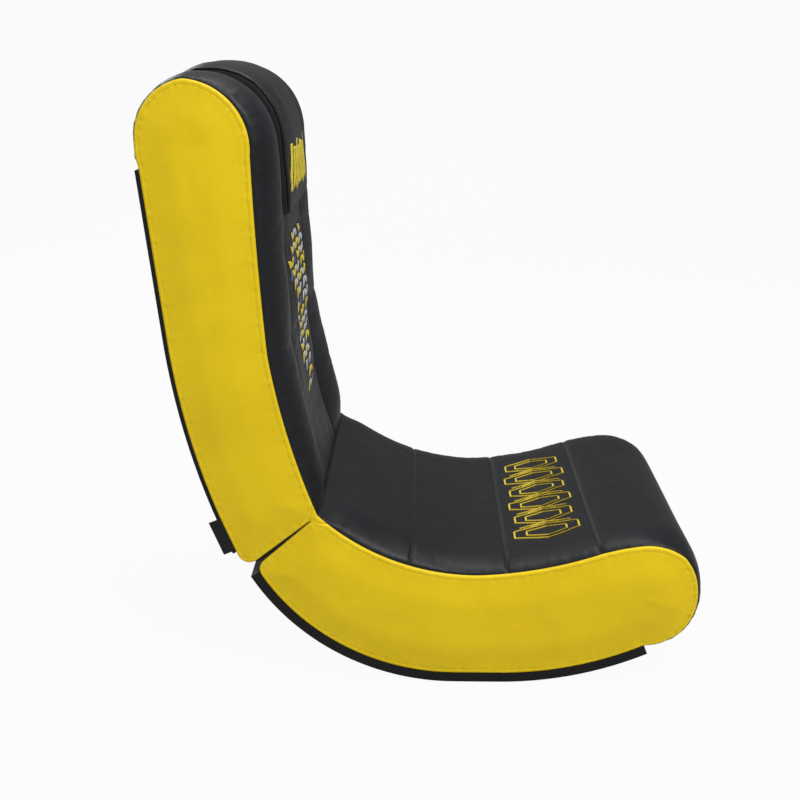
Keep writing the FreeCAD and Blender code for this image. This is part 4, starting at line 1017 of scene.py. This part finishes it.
# Backrest: a tapering band of facets in yellow, silver and slate on a black ground
facet = {"topZ": 585, "lowZ": 345, "rows": 15, "columns": 9, "halfWidth": 92.0,
         "taper": 0.78, "lean": 14, "ground": 10, "tilt": 6, "seed": 5}
printTop, printEnd = [backLine.lengthAtZ(facet[key], faceTop) for key in ("topZ", "lowZ")]
facetRandom = np.random.default_rng(facet["seed"])
facetPitch = (printEnd - printTop) / facet["rows"]
columnPitch = 2 * facet["halfWidth"] / facet["columns"]
shapes = {"Black": [], "Yellow": [], "Silver": [], "Slate": []}
kinds = ("Yellow", "Silver", "Yellow", "Slate", "Silver", None, "Yellow")
for row in range(facet["rows"]):
    share = (row + 0.5) / facet["rows"]
    reach = facet["halfWidth"] * (1 - facet["taper"] * share ** 1.5) \
        * (0.55 + 0.45 * min(share * 6, 1))
    middle = facet["lean"] * share
    s = printTop + row * facetPitch
    ground = reach + facet["ground"]
    shapes["Black"].append(((s, middle - ground), (s + facetPitch, middle - ground + 4),
                            (s + facetPitch, middle + ground - 4), (s, middle + ground)))
    for column in range(facet["columns"]):
        y = middle + (column - (facet["columns"] - 1) / 2) * columnPitch
        if abs(y - middle) > reach:
            continue
        kind = kinds[(3 * row + 2 * column + int(facetRandom.integers(0, 3))) % 7]
        tilt = facet["tilt"] if (row + column) % 2 else -facet["tilt"]
        near, far = y - columnPitch * 0.42, y + columnPitch * 0.36
        if kind:
            shapes[kind].append(((s + 1.5, near + tilt), (s + facetPitch - 1.5, near - tilt),
                                 (s + facetPitch * 0.7, far - tilt), (s + 3.5, far + tilt)))
for kind, material, lift in (("Black", printBlack, film["lift"]),
                             ("Yellow", printYellow, film["topLift"]),
                             ("Silver", printSilver, film["topLift"]),
                             ("Slate", printSlate, film["topLift"])):
    laidFilm("backPrint" + kind, backCover, shapes[kind], material, "backrest", lift)

# Seat: a chain of outlined hexagons and chevrons, embroidered
chain = {"fromX": 122, "toX": 212, "count": 6, "pitch": 52, "firstY": -135, "lift": 0.35,
         "rings": ((1.0, 24), (0.62, 15)), "low": 0.9, "chevrons": (0.8, 0.45), "point": 1.5}
chainFrom, chainTo = [seatLine.lengthAtX(chain[key]) for key in ("fromX", "toX")]
middle = (chainFrom + chainTo) / 2
halfTall = (chainTo - chainFrom) / 2
hexagon = np.array([(-1, -0.45), (-1, 0.45), (0, 1), (1, 0.45), (1, -0.45), (0, -1),
                    (-1, -0.45)])
chevron = np.array([(-1, 20), (0, 32), (1, 20)])
chains = []
for number in range(chain["count"]):
    centre = (middle, chain["firstY"] + number * chain["pitch"])
    for share, wide in chain["rings"]:
        tall = halfTall * share * (chain["low"] if number % 2 else 1.0)
        chains.append(hexagon * (tall, wide) + centre)
    if number < chain["count"] - 1:
        chains += [chevron * (halfTall * share, 1) + centre for share in chain["chevrons"]]
runs = [seatCover.place(*resampled(corners, chain["point"]).T, chain["lift"])
        for corners in chains]
embroidery = sewn("seatEmbroidery", runs, satinStitches, satinStitch)
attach(embroidery, "seat")
print("prints and embroidery ready")


# Studio: a pale floor that curves up behind, soft lamps and a white surround
studio = {"floor": "#b4b4b4", "showWhite": 0.95, "world": 0.3, "front": 4000, "behind": 3000,
          "curve": 1500, "wall": 5000, "halfWidth": 6000, "aim": (0, 0, 0.35)}
floorMaterial, tree, _ = newMaterial("paleStudioFloor", Roughness=0.9, Specular_IOR_Level=0.0,
                                     Base_Color=linear(studio["floor"]))
rays = addNode(tree, "ShaderNodeLightPath")
white = addNode(tree, "ShaderNodeEmission", Color=(1, 1, 1, 1), Strength=1.0)
seen = worked(tree, "MULTIPLY", rays, studio["showWhite"])
mix = addNode(tree, "ShaderNodeMixShader", _0=seen, _1=tree.nodes["Principled BSDF"], _2=white)
join(tree, mix, tree.nodes["Material Output"].inputs[0])
behind, curve = studio["behind"], studio["curve"]
profile = [(-studio["front"], 0), (behind, 0)]
profile += [(behind + curve * math.sin(t), curve - curve * math.cos(t))
            for t in np.linspace(0, math.pi / 2, 9)[1:]]
profile += [(behind + curve, studio["wall"])]
floorPoints = [(x, y, z) for y, z in profile
               for x in (-studio["halfWidth"], studio["halfWidth"])]
floorFaces = [(at * 2, at * 2 + 1, at * 2 + 3, at * 2 + 2) for at in range(len(profile) - 1)]
newObject("studioFloor", floorPoints, floorFaces, floorMaterial)

world = bpy.data.worlds.new("studioSurround")
scene.world = world
world.use_nodes = True
tree = world.node_tree
background = tree.nodes["Background"]
background.inputs[0].default_value = (1, 1, 1, 1)
rays = addNode(tree, "ShaderNodeLightPath")
join(tree, worked(tree, "MULTIPLY_ADD", rays, 1 - studio["world"], studio["world"]),
     background.inputs[1])

# Place in metres, power in watts and size of each lamp
lamps = {"keyLamp": ((1.5, -2.0, 2.7), 80.0, 1.2), "fillLamp": ((-2.2, -1.6, 1.5), 13.0, 1.8),
         "topLamp": ((0.2, 0.3, 2.6), 26.0, 1.2), "rearLamp": ((-2.0, 2.2, 1.9), 34.0, 1.6)}
for name, (place, power, size) in lamps.items():
    data = bpy.data.lights.new(name, "AREA")
    data.energy, data.size = power, size
    lamp = linked(name, data)
    lamp.location = place
    aim = Vector(studio["aim"]) - lamp.location
    lamp.rotation_euler = aim.to_track_quat("-Z", "Y").to_euler()
scene.view_settings.view_transform = "Standard"
print("studio ready")
